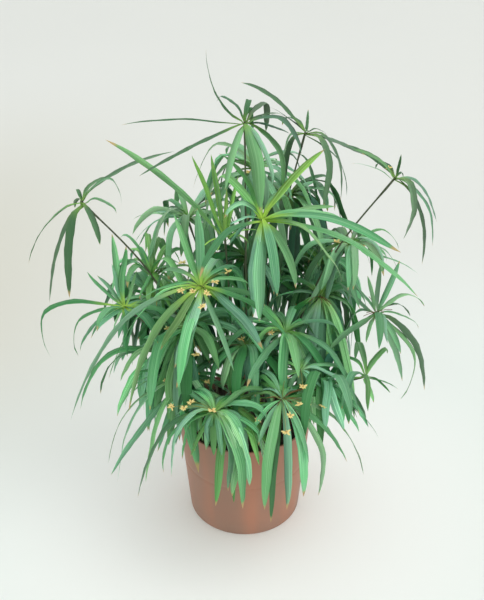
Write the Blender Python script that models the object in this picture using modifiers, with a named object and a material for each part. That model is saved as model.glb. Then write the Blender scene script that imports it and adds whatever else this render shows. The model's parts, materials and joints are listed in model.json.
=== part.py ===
"""A dwarf papyrus in a plain plastic pot: the pot, its soil, and 29 stems that each carry a crown of leaves.

Metres, +Z up. The origin is the middle of the pot's underside, and the front of the plant looks along -Y.
Every leaf is an arc in an upright plane through its crown. The leaves that show most are set one by one,
the others fill the gaps of their crown, and each leaf is turned or bent a little until it is clear of
every other stem and leaf.
"""

import math
import random
from typing import NamedTuple

import bmesh
import bpy
from mathutils import Matrix, Vector, noise
from mathutils.bvhtree import BVHTree

MM = 0.001
GAP = 0.3 * MM
WELD = 0.05 * MM

POT_HEIGHT = 130 * MM
POT_RIM_RADIUS = 75 * MM
POT_BASE_RADIUS = 64 * MM
POT_WALL = 2.2 * MM
POT_FLOOR = 3 * MM
POT_FOOT_BEVEL = 3 * MM
POT_LIP = 0.8 * MM
POT_STEPS = 30
DRAIN_HOLES = 6
DRAIN_RADIUS = 4.5 * MM
DRAIN_SIDES = 6
DRAIN_CIRCLE = 46 * MM

SOIL_BELOW_RIM = 14 * MM
SOIL_RELIEF = 2.2 * MM
SOIL_LUMP = 16 * MM
SOIL_SEGMENTS = 20
SOIL_RINGS = (0.86, 0.68, 0.46, 0.22)

STEM_FOOT_RADIUS = 2.1 * MM
STEM_TOP_RADIUS = 1.4 * MM
STEM_STATIONS = (0.0, 0.36, 0.7, 1.0)
STEM_BEND_OUT = 0.15
STEM_BEND_UP = 0.6
STEM_ANGLES = 3
STEM_SHELL_WIDER = 1.1

COLLAR_LENGTH = 8 * MM
COLLAR_LOW_RADIUS = 2.0 * MM
COLLAR_TOP_RADIUS = 3.2 * MM
COLLAR_SEGMENTS = 6
COLLAR_SPREAD = 2.4 * MM

LEAF_ROOT = -1.8 * MM
LEAF_FIRST_STATION = 16 * MM
LEAF_FIRST_SHARE = 0.4
LEAF_LAST_SHARE = 0.84
LEAF_SHORT = 66 * MM
LEAF_LONG = 130 * MM
LEAF_OPENS_OVER = 32 * MM
LEAF_OPENS_FROM = 0.3
LEAF_TAPERS_FROM = 0.45
LEAF_KEEL = 0.12
LEAF_THINNEST = 0.7 * MM
LEAF_ROOT_KEEL = 1.2 * MM
LEAF_FOLD = 0.06
LEAF_ROLL = 25
LEAF_LIFT_TURN = 2.4
ARC_STEPS = 24

# How a leaf is moved until it is clear: degrees and millimetres at a freedom of one.
CLEARANCE = 0.45 * MM
POT_CLEAR_OUT = 4 * MM
POT_CLEAR_UP = 3 * MM
TRIES = 140
SEED = 27
SET_FREEDOM = 0.6
FILL_FREEDOM = 1.5
NUDGE_FIRST = 0.15
NUDGE_HEADING = 22
NUDGE_MIDDLE = 14
NUDGE_TIP_UP = 20
NUDGE_TIP_OUT = 8
SHORTER_AFTER = 0.6
SHORTER_BY = 0.35

# The leaves that fill up a crown, as shares of its reach, and their widths in millimetres.
FILL_GAP_SHARE = (0.4, 0.6)
FILL_SIZE = (0.8, 1.2)
FILL_STEEP = (0.02, 0.26)
FILL_STEEP_YOUNG = (0.25, 0.6)
FILL_STEEP_AT_TIP = 0.8
FILL_MIDDLE = (0.5, 0.6)
FILL_TIP = (0.75, 1.0)
FILL_DROOP = (0.1, 0.9)
FILL_WIDTH = (6.5, 10.5)

POT_COLOUR = (0.36, 0.19, 0.13)
SOIL_COLOUR = (0.035, 0.024, 0.017)
STEM_COLOUR = (0.10, 0.20, 0.05)
LEAF_COLOUR = (0.085, 0.30, 0.13)
YOUNG_COLOUR = (0.20, 0.38, 0.05)
POT_ROUGHNESS = 0.5
SOIL_ROUGHNESS = 0.95
STEM_ROUGHNESS = 0.5
LEAF_ROUGHNESS = 0.45


class Leaf(NamedTuple):
    """One leaf from its crown, in millimetres: out is level, up is upward, both from the crown."""

    heading: float
    mid_out: float
    mid_up: float
    tip_out: float
    tip_up: float
    width: float
    roll: float = 0.0


class Crown(NamedTuple):
    """A stem's foot in the soil and its top, in millimetres, and the leaves that it carries."""

    foot: tuple
    top: tuple
    count: int
    reach: float
    young: bool
    leaves: list


# Headings are degrees: 0 points right, 90 to the back and -90 to the front.
CROWNS = [
    Crown((2, 6), (0, 10, 470), 13, 70, False, [
        (180, 27, 27, 36, 72, 8),
        (170, 14, 19, 27, 9, 8),
        (180, 60, 6, 120, 0, 4),
        (190, 50, -22, 105, -50, 8),
        (215, 9, -8, 15, -22, 6),
        (250, 26, -10, 55, -46, 7),
        (285, 40, -20, 58, -70, 12),
        (30, 20, 23, 24, -12, 9),
        (15, 24, 7, 40, 1, 6),
        (-10, 25, -2, 44, -9, 6),
        (-30, 37, -18, 42, -66, 8),
        (-60, 42, -20, 52, -50, 5),
    ]),
    Crown((14, -12), (17, -40, 390), 13, 90, False, [
        (150, 18, 39, 48, 59, 10),
        (50, 40, 27, 88, 44, 8),
        (20, 40, 6, 78, 4, 8),
        (5, 45, 5, 82, -6, 8),
        (-5, 81, -17, 156, -78, 9),
        (-50, 32, -16, 50, -53, 9),
        (-75, 36, -20, 53, -57, 9),
        (-93, 42, -28, 54, -80, 11),
        (200, 17, -2, 34, -22, 8),
    ]),
    Crown((16, 20), (61, 40, 447), 11, 65, False, [
        (160, 31, 32, 69, 45, 7),
        (170, 19, 17, 36, 22, 6),
        (60, 3, 13, 6, 26, 4),
        (10, 13, 3, 22, -6, 4),
        (0, 34, -10, 63, -23, 7),
        (-35, 26, -11, 25, -74, 9),
        (-20, 31, -18, 37, -67, 7),
        (-40, 36, -27, 65, -81, 9),
        (-8, 33, -23, 46, -65, 5),
        (200, 19, -4, 23, -41, 7),
        (115, 30, 10, 52, -10, 7),
    ]),
    Crown((34, 8), (150, 10, 411), 10, 60, False, [
        (170, 19, 22, 44, 28, 7),
        (150, 28, 17, 56, 24, 6),
        (185, 23, 16, 44, 20, 4),
        (60, 4, 10, 8, 22, 5),
        (-5, 26, -7, 46, -46, 8),
        (-20, 31, -13, 46, -68, 6),
        (-50, 25, -11, 16, -63, 10),
        (-35, 30, -21, 37, -86, 7),
        (-28, 24, -17, 33, -68, 4),
        (110, 26, 8, 44, -8, 7),
    ]),
    Crown((-36, 2), (-163, 0, 390), 9, 60, False, [
        (185, 34, -20, 60, -67, 7),
        (210, 25, -36, 44, -105, 8),
        (250, 24, -22, 37, -86, 10),
        (-50, 20, -12, 31, -37, 8),
        (110, 15, 8, 25, 2, 6),
        (60, 18, 16, 43, 11, 6),
        (25, 47, 25, 102, 35, 8),
        (-10, 21, 8, 34, -8, 6),
        (10, 31, 21, 39, -7, 5),
    ]),
    Crown((-12, 2), (-20, -10, 353), 11, 75, True, [
        (165, 56, 57, 122, 95, 11),
        (150, 19, 45, 37, 82, 7),
        (110, 24, 40, 41, 79, 7),
        (80, 7, 28, 13, 49, 6),
        (128, 12, 44, 22, 75, 4),
        (60, 14, 34, 27, 61, 5),
        (40, 8, 20, 15, 36, 5),
        (205, 16, 6, 30, -6, 5),
        (250, 12, 4, 22, -4, 5),
        (330, 14, 8, 28, 2, 5),
        (15, 18, 12, 36, 6, 5),
    ]),
    Crown((42, -6), (136, -30, 278), 12, 60, False, [
        (150, 21, 9, 45, 25, 8),
        (110, 17, 18, 28, 29, 5),
        (80, 8, 26, 12, 50, 6),
        (60, 30, 22, 51, 37, 7),
        (15, 30, 19, 54, 0, 8),
        (-5, 28, 4, 46, -16, 6),
        (-20, 38, -22, 56, -85, 12),
        (-30, 47, -28, 37, -93, 8),
        (-50, 26, -20, 42, -66, 9),
        (235, 12, -8, 20, -26, 6),
        (205, 32, -13, 58, -28, 12),
    ]),
    Crown((28, 0), (80, 0, 280), 10, 75, False, [
        (-85, 26, -22, 52, -76, 9),
        (235, 38, -20, 83, -63, 8),
        (-58, 38, -22, 72, -112, 8),
        (-30, 15, -8, 26, -30, 6),
        (180, 30, 5, 52, -5, 6),
    ]),
    Crown((20, -28), (56, -80, 241), 8, 55, False, [
        (190, 26, -2, 52, -6, 9),
        (-20, 13, -7, 24, -19, 8),
        (20, 30, 4, 55, -14, 7),
        (60, 28, 8, 48, -4, 7),
        (100, 26, 8, 46, -6, 8),
        (140, 28, 6, 50, -10, 8),
        (-60, 12, -4, 20, -14, 7),
        (235, 14, -4, 24, -18, 7),
    ]),
    Crown((14, -44), (37, -110, 227), 13, 60, False, [
        (25, 49, -7, 90, -46, 8),
        (165, 25, 7, 51, -13, 8),
        (4, 53, -16, 86, -95, 9),
        (-15, 39, -21, 68, -65, 10),
        (-32, 41, -33, 44, -107, 8),
        (-60, 34, -24, 45, -92, 10),
        (-110, 34, -22, 52, -100, 10),
        (-78, 34, -28, 40, -108, 8),
        (-95, 40, -42, 52, -122, 6),
        (-48, 27, -17, 43, -47, 6),
        (190, 17, -4, 36, -11, 7),
        (225, 20, -12, 34, -38, 7),
    ]),
    Crown((46, -22), (126, -50, 212), 8, 55, True, [
        (190, 25, -1, 43, -10, 8),
        (-10, 18, -3, 35, -13, 5),
        (-85, 17, -15, 33, -29, 4),
        (-60, 14, -8, 22, -21, 4),
    ]),
    Crown((-38, -14), (-125, -20, 280), 11, 65, False, [
        (185, 77, 2, 81, -61, 7),
        (195, 48, -10, 51, -54, 7),
        (207, 37, -9, 54, -38, 7),
        (150, 27, 14, 44, 28, 6),
        (110, 19, 24, 38, 67, 7),
        (60, 12, 14, 23, 33, 6),
        (-80, 14, -12, 22, -50, 5),
    ]),
    Crown((-14, -22), (-42, -60, 327), 13, 80, False, [
        (100, 12, 40, 22, 75, 9),
        (120, 28, 28, 57, 55, 8),
        (175, 31, 5, 78, -31, 7),
        (200, 79, -22, 141, -128, 10),
        (215, 53, -26, 90, -113, 12),
        (250, 40, -28, 66, -76, 10),
        (-60, 32, -26, 64, -63, 6),
        (-5, 37, -2, 62, -17, 7),
        (-22, 50, -5, 94, -42, 10),
        (20, 27, 6, 50, -8, 7),
    ]),
    Crown((-12, -48), (-30, -120, 219), 10, 60, False, [
        (185, 49, -22, 81, -105, 10),
        (215, 14, -17, 29, -43, 7),
        (-95, 16, -10, 22, -42, 5),
        (-60, 44, -13, 57, -81, 11),
        (195, 34, -8, 46, -76, 8),
        (190, 42, -12, 58, -79, 5),
    ]),
    Crown((-8, 34), (11, 60, 397), 9, 75, False, [
        (170, 35, 31, 67, -24, 8),
    ]),
    Crown((-34, -30), (-62, -60, 214), 11, 70, False, [
        (205, 41, -35, 88, -96, 9),
        (195, 47, -24, 78, -122, 7),
        (185, 56, -26, 88, -104, 6),
        (215, 35, -34, 58, -106, 7),
        (176, 44, 0, 66, -38, 4),
        (230, 24, -24, 46, -65, 6),
        (160, 30, 8, 58, -8, 7),
    ]),
    Crown((-26, -8), (-57, -30, 258), 8, 75, False, [
        (205, 37, -18, 52, -99, 10),
    ]),
    Crown((32, 26), (112, 30, 326), 10, 65, False, [
        (5, 31, 18, 53, -8, 6),
        (-20, 26, 7, 39, -14, 9),
        (-3, 38, -4, 54, -34, 5),
        (-12, 46, -12, 73, -29, 5),
    ]),
    Crown((-26, 18), (-100, 30, 286), 9, 60, True, [
        (165, 18, 44, 36, 42, 6),
    ]),
    Crown((28, -36), (78, -70, 212), 8, 60, True, [
        (-5, 31, -18, 65, -68, 8),
        (-18, 25, -12, 44, -46, 7),
    ]),
    Crown((2, -36), (-17, -95, 205), 11, 50, True, [
        (-104, 26, -22, 52, -86, 8),
        (-82, 28, -24, 46, -86, 6),
        (-60, 20, -6, 36, -31, 9),
        (15, 28, 12, 57, 9, 8),
        (-112, 14, -6, 31, -21, 6),
        (50, 17, 18, 30, 22, 5),
        (-35, 23, 4, 53, -27, 8),
        (-48, 31, 8, 55, -34, 7),
    ]),
    Crown((-44, 14), (-84, 0, 205), 7, 70, False, [
        (185, 63, 6, 101, -67, 8),
    ]),
    Crown((-20, 30), (-62, 72, 335), 7, 80, False, []),
    Crown((8, 44), (48, 88, 350), 7, 85, False, []),
    Crown((-2, 42), (4, 70, 284), 9, 90, False, []),
    Crown((26, 40), (86, 88, 268), 7, 85, False, []),
    Crown((-36, 30), (-104, 72, 230), 7, 80, False, []),
    Crown((6, -6), (2, -50, 248), 9, 70, False, []),
    Crown((18, -22), (42, -44, 262), 8, 80, False, []),
]


class Arc:
    """The curve of one leaf from its crown's middle to its tip, and the cross-sections along it."""

    def __init__(self, crown, leaf, lift=0.0):
        self.leaf = leaf
        self.start = Vector(crown.top) * MM + stem_path(crown)[1] * lift
        angle = math.radians(leaf.heading)
        self.ahead = Vector((math.cos(angle), math.sin(angle), 0))
        self.side = Vector((-math.sin(angle), math.cos(angle), 0))
        middle = Vector((leaf.mid_out, leaf.mid_up)) * MM
        self.tip = Vector((leaf.tip_out, leaf.tip_up)) * MM
        self.bend = middle * 2 - self.tip / 2
        self.lengths = [0.0]
        for step in range(ARC_STEPS):
            piece = self.point((step + 1) / ARC_STEPS) - self.point(step / ARC_STEPS)
            self.lengths.append(self.lengths[-1] + piece.length)

    def point(self, t):
        flat = self.bend * (2 * t * (1 - t)) + self.tip * (t * t)
        return self.start + self.ahead * flat.x + Vector((0, 0, flat.y))

    def tangent(self, t):
        flat = self.bend * (2 - 4 * t) + self.tip * (2 * t)
        return (self.ahead * flat.x + Vector((0, 0, flat.y))).normalized()

    def length(self):
        return self.lengths[-1]

    def at_length(self, distance):
        """The curve's parameter at this distance from its start."""
        for step in range(ARC_STEPS):
            low, high = self.lengths[step], self.lengths[step + 1]
            if distance <= high:
                return (step + (distance - low) / (high - low)) / ARC_STEPS
        return 1.0

    def stations(self):
        """Distances of the cross-sections from the crown: few on a short leaf, more on a long one."""
        total = self.length()
        first = min(LEAF_FIRST_STATION, LEAF_FIRST_SHARE * total)
        count = 2 if total < LEAF_SHORT else 3 if total < LEAF_LONG else 4
        last = LEAF_LAST_SHARE * total
        return [first + (last - first) * i / (count - 1) for i in range(count)]

    def width(self, distance):
        """The blade is narrow at its crown, soon has its full width, and runs out to a point."""
        opening = min(1.0, LEAF_OPENS_FROM + distance / LEAF_OPENS_OVER)
        past = (distance / self.length() - LEAF_TAPERS_FROM) / (1 - LEAF_TAPERS_FROM)
        closing = 1 - max(0.0, past) ** 2
        return self.leaf.width * MM * opening * closing

    def section(self, distance, extra):
        """Left edge, right edge and keel of the blade at this distance."""
        t = self.at_length(distance)
        share = distance / self.length()
        width = self.width(distance)
        along = self.tangent(t)
        turn = Matrix.Rotation(math.radians(self.leaf.roll) * share, 3, along)
        across = turn @ self.side
        raised = turn @ along.cross(self.side)
        middle = self.point(t) + raised * (width * LEAF_FOLD + extra)
        half = across * (width / 2 + extra)
        keel = max(LEAF_THINNEST, width * LEAF_KEEL) + LEAF_ROOT_KEEL * (1 - share) ** 4 + extra
        return [middle + half, middle - half, self.point(t) - raised * keel]


def blade(arc, extra=0.0, with_root=True):
    """Corners and faces of a closed blade: three-sided sections between a point in the collar and the tip.

    Without its root the blade starts flat at its first section.
    """
    corners = []
    for distance in arc.stations():
        corners += arc.section(distance, extra)
    faces = []
    for low in range(0, len(corners) - 3, 3):
        for i, j in ((0, 1), (1, 2), (2, 0)):
            faces += [(low + j, low + i, low + 3 + i), (low + j, low + 3 + i, low + 3 + j)]
    last = len(corners) - 3
    tip = len(corners)
    corners.append(arc.point(1.0) + arc.tangent(1.0) * extra)
    faces += [(last + 1, last, tip), (last + 2, last + 1, tip), (last, last + 2, tip)]
    if with_root:
        root = len(corners)
        corners.append(arc.start + arc.tangent(0.0) * LEAF_ROOT)
        faces += [(0, 1, root), (1, 2, root), (2, 0, root)]
    else:
        faces.append((0, 1, 2))
    return corners, faces


class Grown:
    """What has grown so far, to keep each new leaf clear of it."""

    def __init__(self):
        self.things = []

    def add(self, corners, faces, crown=None):
        low = Vector(min(c[i] for c in corners) for i in range(3))
        high = Vector(max(c[i] for c in corners) for i in range(3))
        self.things.append((low, high, BVHTree.FromPolygons(corners, faces), crown))

    def touched(self, corners, faces, skip=None, only=None):
        low = Vector(min(c[i] for c in corners) for i in range(3))
        high = Vector(max(c[i] for c in corners) for i in range(3))
        tree = None
        for other_low, other_high, other, crown in self.things:
            if (skip is not None and crown == skip) or (only is not None and crown != only):
                continue
            if any(low[i] > other_high[i] or high[i] < other_low[i] for i in range(3)):
                continue
            tree = tree or BVHTree.FromPolygons(corners, faces)
            if tree.overlap(other):
                return True
        return False


def is_clear(arc, crown, everything, outer_parts):
    """A leaf is clear if it touches no other crown, and its own crown's leaves only near their root."""
    corners, faces = blade(arc, CLEARANCE)
    if min(c.z for c in corners) < POT_HEIGHT and pot_is_near(corners):
        return False
    if everything.touched(corners, faces, skip=crown):
        return False
    corners, faces = blade(arc, CLEARANCE, with_root=False)
    return not outer_parts.touched(corners, faces, only=crown)


def pot_is_near(corners):
    reach = POT_RIM_RADIUS + POT_CLEAR_OUT
    return any(c.z < POT_HEIGHT + POT_CLEAR_UP and math.hypot(c.x, c.y) < reach for c in corners)


def nudged(leaf, step, rng, freedom):
    """The leaf itself at first, then variants that move further from it with each try."""
    if step == 0:
        return leaf
    size = freedom * (NUDGE_FIRST + step / TRIES)
    shorter = 1 - SHORTER_BY * max(0.0, step / TRIES - SHORTER_AFTER)
    shift = [rng.uniform(-1, 1) for _ in range(4)]
    return leaf._replace(
        heading=leaf.heading + NUDGE_HEADING * size * shift[0],
        mid_up=leaf.mid_up * shorter + NUDGE_MIDDLE * size * shift[1],
        tip_up=leaf.tip_up * shorter + NUDGE_TIP_UP * size * shift[2],
        mid_out=leaf.mid_out * shorter,
        tip_out=leaf.tip_out * shorter + NUDGE_TIP_OUT * size * shift[3],
    )


def filling_leaf(crown, taken, rng):
    """A leaf for the widest gap between the headings that a crown has so far."""
    if taken:
        turns = sorted(angle % 360 for angle in taken)
        gaps = [(turns[(i + 1) % len(turns)] - turn) % 360 or 360 for i, turn in enumerate(turns)]
        widest = max(range(len(gaps)), key=gaps.__getitem__)
        heading = turns[widest] + gaps[widest] * rng.uniform(*FILL_GAP_SHARE)
    else:
        heading = rng.uniform(0, 360)
    size = crown.reach * rng.uniform(*FILL_SIZE)
    steep = rng.uniform(*(FILL_STEEP_YOUNG if crown.young else FILL_STEEP))
    return Leaf(
        heading=heading,
        mid_out=size * rng.uniform(*FILL_MIDDLE),
        mid_up=size * steep,
        tip_out=size * rng.uniform(*FILL_TIP),
        tip_up=size * (steep * FILL_STEEP_AT_TIP - rng.uniform(*FILL_DROOP)),
        width=rng.uniform(*FILL_WIDTH),
    )


def grow_leaves(everything):
    """The arcs of each crown's leaves: first the ones that are set by hand, then those that fill up."""
    rng = random.Random(SEED)
    outer_parts = Grown()
    arcs = [[] for _ in CROWNS]

    def place(index, leaf, freedom):
        leaf = leaf._replace(roll=rng.uniform(-LEAF_ROLL, LEAF_ROLL))
        lift = COLLAR_SPREAD * math.sin(LEAF_LIFT_TURN * len(arcs[index]))
        for step in range(TRIES):
            arc = Arc(CROWNS[index], nudged(leaf, step, rng, freedom), lift)
            if is_clear(arc, index, everything, outer_parts):
                arcs[index].append(arc)
                everything.add(*blade(arc), crown=index)
                outer_parts.add(*blade(arc, with_root=False), crown=index)
                return

    for index, crown in enumerate(CROWNS):
        for row in crown.leaves:
            place(index, Leaf(*row), SET_FREEDOM)
    for turn in range(max(crown.count for crown in CROWNS)):
        for index, crown in enumerate(CROWNS):
            if len(crown.leaves) + turn < crown.count:
                taken = [arc.leaf.heading for arc in arcs[index]]
                place(index, filling_leaf(crown, taken, rng), FILL_FREEDOM)
    return arcs


def material(name, colour, roughness):
    made = bpy.data.materials.new(name)
    made.use_nodes = True
    shader = made.node_tree.nodes["Principled BSDF"]
    shader.inputs["Base Color"].default_value = (*colour, 1)
    shader.inputs["Roughness"].default_value = roughness
    shader.inputs["Metallic"].default_value = 0.0
    made.diffuse_color = (*colour, 1)
    return made


def new_object(name, data, collection, finish=None):
    made = bpy.data.objects.new(name, data)
    collection.objects.link(made)
    if finish:
        data.materials.append(finish)
    return made


def mesh_of(name, corners, faces):
    data = bpy.data.meshes.new(name)
    data.from_pydata([tuple(c) for c in corners], [], faces)
    return data


def helper(name, data, collection):
    """A shape that only cuts or joins: it shows in no render."""
    made = new_object(name, data, collection)
    made.hide_render = True
    made.display_type = "WIRE"
    return made


def combine(target, other, operation):
    joined = target.modifiers.new(other.name, "BOOLEAN")
    joined.operation = operation
    joined.solver = "EXACT"
    joined.object = other
    return joined


def soil_height(x, y):
    lumps = noise.noise(Vector((x, y, 0)) / SOIL_LUMP)
    return POT_HEIGHT - SOIL_BELOW_RIM + SOIL_RELIEF * lumps


def pot_profile():
    """The half section, from the middle of the underside out, up, over the lip and down inside."""
    slope = (POT_RIM_RADIUS - POT_BASE_RADIUS) / POT_HEIGHT

    def outside(height):
        return POT_BASE_RADIUS + slope * height

    return [
        (0, POT_FLOOR),
        (outside(POT_FLOOR) - POT_WALL, POT_FLOOR),
        (outside(POT_HEIGHT) - POT_WALL, POT_HEIGHT - POT_LIP),
        (outside(POT_HEIGHT) - POT_WALL + POT_LIP, POT_HEIGHT),
        (outside(POT_HEIGHT) - POT_LIP, POT_HEIGHT),
        (outside(POT_HEIGHT), POT_HEIGHT - POT_LIP),
        (outside(POT_FOOT_BEVEL), POT_FOOT_BEVEL),
        (outside(0) - POT_FOOT_BEVEL / 2, 0),
        (0, 0),
    ]


def make_pot(parts, cutters, finish):
    """A turned shell with drain holes through its floor."""
    profile = pot_profile()
    data = bpy.data.meshes.new("pot")
    edges = [(i, i + 1) for i in range(len(profile) - 1)]
    data.from_pydata([(radius, 0, height) for radius, height in profile], edges, [])
    pot = new_object("pot", data, parts, finish)
    turned = pot.modifiers.new("Turned", "SCREW")
    turned.steps = POT_STEPS
    turned.render_steps = POT_STEPS
    turned.use_merge_vertices = True
    turned.merge_threshold = WELD
    turned.use_smooth_shade = True
    punch = bmesh.new()
    for index in range(DRAIN_HOLES):
        turn = Matrix.Rotation(2 * math.pi * (index + 0.5) / DRAIN_HOLES, 4, "Z")
        place = turn @ Matrix.Translation((DRAIN_CIRCLE, 0, POT_FLOOR / 2))
        bmesh.ops.create_cone(
            punch, cap_ends=True, segments=DRAIN_SIDES, radius1=DRAIN_RADIUS, radius2=DRAIN_RADIUS,
            depth=POT_FLOOR * 3, matrix=place,
        )
    holes = bpy.data.meshes.new("drain_holes")
    punch.to_mesh(holes)
    punch.free()
    combine(pot, helper("drain_holes", holes, cutters), "DIFFERENCE")
    return pot


def make_soil(parts, finish):
    """A plug that fills the pot to below its rim, with a lumpy top."""
    slope = (POT_RIM_RADIUS - POT_BASE_RADIUS) / POT_HEIGHT
    top = POT_HEIGHT - SOIL_BELOW_RIM
    bottom = POT_FLOOR + GAP
    inset = POT_WALL + 2 * GAP
    low_radius = POT_BASE_RADIUS + slope * bottom - inset
    top_radius = POT_BASE_RADIUS + slope * top - inset
    plug = bmesh.new()
    bmesh.ops.create_cone(
        plug, cap_ends=True, segments=SOIL_SEGMENTS, radius1=low_radius, radius2=top_radius,
        depth=top - bottom, matrix=Matrix.Translation((0, 0, (top + bottom) / 2)),
    )
    cap = max(plug.faces, key=lambda face: face.calc_center_median().z)
    previous = 1.0
    for ring in SOIL_RINGS:
        bmesh.ops.inset_region(plug, faces=[cap], thickness=top_radius * (previous - ring), depth=0)
        previous = ring
    bmesh.ops.poke(plug, faces=[cap])
    for corner in plug.verts:
        if corner.co.z > top - GAP:
            corner.co.z = soil_height(corner.co.x, corner.co.y)
    data = bpy.data.meshes.new("soil")
    plug.to_mesh(data)
    plug.free()
    return new_object("soil", data, parts, finish)


def stem_path(crown):
    """Points of a stem: it leaves the soil nearly upright and leans further out towards its top."""
    x, y = (value * MM for value in crown.foot)
    foot = Vector((x, y, soil_height(x, y) + SOIL_RELIEF / 2))
    top = Vector(crown.top) * MM
    across = top - foot
    bend = foot + Vector((across.x * STEM_BEND_OUT, across.y * STEM_BEND_OUT, across.z * STEM_BEND_UP))
    lean = (top - bend).normalized()
    end = top - lean * (COLLAR_LENGTH / 2 + GAP)
    points = []
    for t in STEM_STATIONS:
        points.append(foot * (1 - t) ** 2 + bend * (2 * t * (1 - t)) + end * (t * t))
    return points, lean


def stem_radius(share):
    return STEM_FOOT_RADIUS + (STEM_TOP_RADIUS - STEM_FOOT_RADIUS) * share


def stem_section(cutters):
    """The outline of every stem: three-angled, as a sedge's stem is, and one unit in radius."""
    outline = bpy.data.curves.new("stem_section", "CURVE")
    outline.dimensions = "2D"
    spline = outline.splines.new("POLY")
    spline.points.add(STEM_ANGLES - 1)
    spline.use_cyclic_u = True
    for index, point in enumerate(spline.points):
        angle = -2 * math.pi * index / STEM_ANGLES
        point.co = (math.cos(angle), math.sin(angle), 0, 1)
    return helper("stem_section", outline, cutters)


def make_stem(name, crown, section, parts, finish):
    points, _ = stem_path(crown)
    curve = bpy.data.curves.new(name, "CURVE")
    curve.dimensions = "3D"
    curve.bevel_mode = "OBJECT"
    curve.bevel_object = section
    curve.use_fill_caps = True
    spline = curve.splines.new("POLY")
    spline.points.add(len(points) - 1)
    for point, place, share in zip(spline.points, points, STEM_STATIONS):
        point.co = (*place, 1)
        point.radius = stem_radius(share)
    return new_object(name, curve, parts, finish)


def stem_shell(crown):
    """A square tube a little wider than the stem, for the leaves to keep clear of."""
    points, _ = stem_path(crown)
    corners = []
    for place, share in zip(points, STEM_STATIONS):
        wide = stem_radius(share) * STEM_SHELL_WIDER + CLEARANCE
        for x, y in ((-1, -1), (1, -1), (1, 1), (-1, 1)):
            corners.append(place + Vector((x * wide, y * wide, 0)))
    faces = [(0, 3, 2, 1)]
    for row in range(len(points) - 1):
        for i in range(4):
            j = (i + 1) % 4
            faces.append((4 * row + i, 4 * row + j, 4 * row + 4 + j, 4 * row + 4 + i))
    last = 4 * len(points) - 4
    faces.append((last, last + 1, last + 2, last + 3))
    return corners, faces


def collar_mesh(name, crown, wider=0.0):
    """The short swelling on top of a stem from which the leaves spring."""
    _, lean = stem_path(crown)
    place = Matrix.Translation(Vector(crown.top) * MM) @ lean.to_track_quat("Z", "X").to_matrix().to_4x4()
    shape = bmesh.new()
    bmesh.ops.create_cone(
        shape, cap_ends=True, segments=COLLAR_SEGMENTS, radius1=COLLAR_LOW_RADIUS + wider,
        radius2=COLLAR_TOP_RADIUS + wider, depth=COLLAR_LENGTH + 2 * wider, matrix=place,
    )
    data = bpy.data.meshes.new(name)
    shape.to_mesh(data)
    shape.free()
    return data


def make_crown(name, crown, arcs, parts, cutters, finish):
    """One crown: its collar and its leaves, joined in one body."""
    data = collar_mesh(name, crown)
    made = new_object(name, data, parts, finish)
    corners, faces = [], []
    for arc in arcs:
        leaf_corners, leaf_faces = blade(arc)
        faces += [tuple(len(corners) + i for i in face) for face in leaf_faces]
        corners += leaf_corners
    leaves = helper(name + "_leaves", mesh_of(name + "_leaves", corners, faces), cutters)
    combine(made, leaves, "UNION").use_self = True
    return made


def obstacles():
    """Stems and collars, which are in place before any leaf grows."""
    everything = Grown()
    for index, crown in enumerate(CROWNS):
        everything.add(*stem_shell(crown))
        data = collar_mesh("clearance", crown, CLEARANCE)
        corners = [corner.co.copy() for corner in data.vertices]
        faces = [tuple(face.vertices) for face in data.polygons]
        everything.add(corners, faces, crown=index)
        bpy.data.meshes.remove(data)
    return everything


def main():
    for old in list(bpy.data.objects):
        bpy.data.objects.remove(old, do_unlink=True)
    parts = bpy.data.collections.new("potted_dwarf_papyrus")
    cutters = bpy.data.collections.new("cutters")
    for collection in (parts, cutters):
        bpy.context.scene.collection.children.link(collection)
    make_pot(parts, cutters, material("terracotta_plastic", POT_COLOUR, POT_ROUGHNESS))
    make_soil(parts, material("potting_soil", SOIL_COLOUR, SOIL_ROUGHNESS))
    section = stem_section(cutters)
    grown = grow_leaves(obstacles())
    for index, (crown, arcs) in enumerate(zip(CROWNS, grown)):
        number = f"{index + 1:02d}"
        leaf_colour = YOUNG_COLOUR if crown.young else LEAF_COLOUR
        stem_finish = material("stem_" + number, STEM_COLOUR, STEM_ROUGHNESS)
        leaf_finish = material("leaf_" + number, leaf_colour, LEAF_ROUGHNESS)
        make_stem("stem_" + number, crown, section, parts, stem_finish)
        make_crown("leaf_crown_" + number, crown, arcs, parts, cutters, leaf_finish)


main()
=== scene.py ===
import json
import math
import random
from typing import NamedTuple

import bmesh
import bpy
from bpy.props import FloatProperty, FloatVectorProperty, IntProperty, PointerProperty
from mathutils import Matrix, Vector, noise


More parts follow.
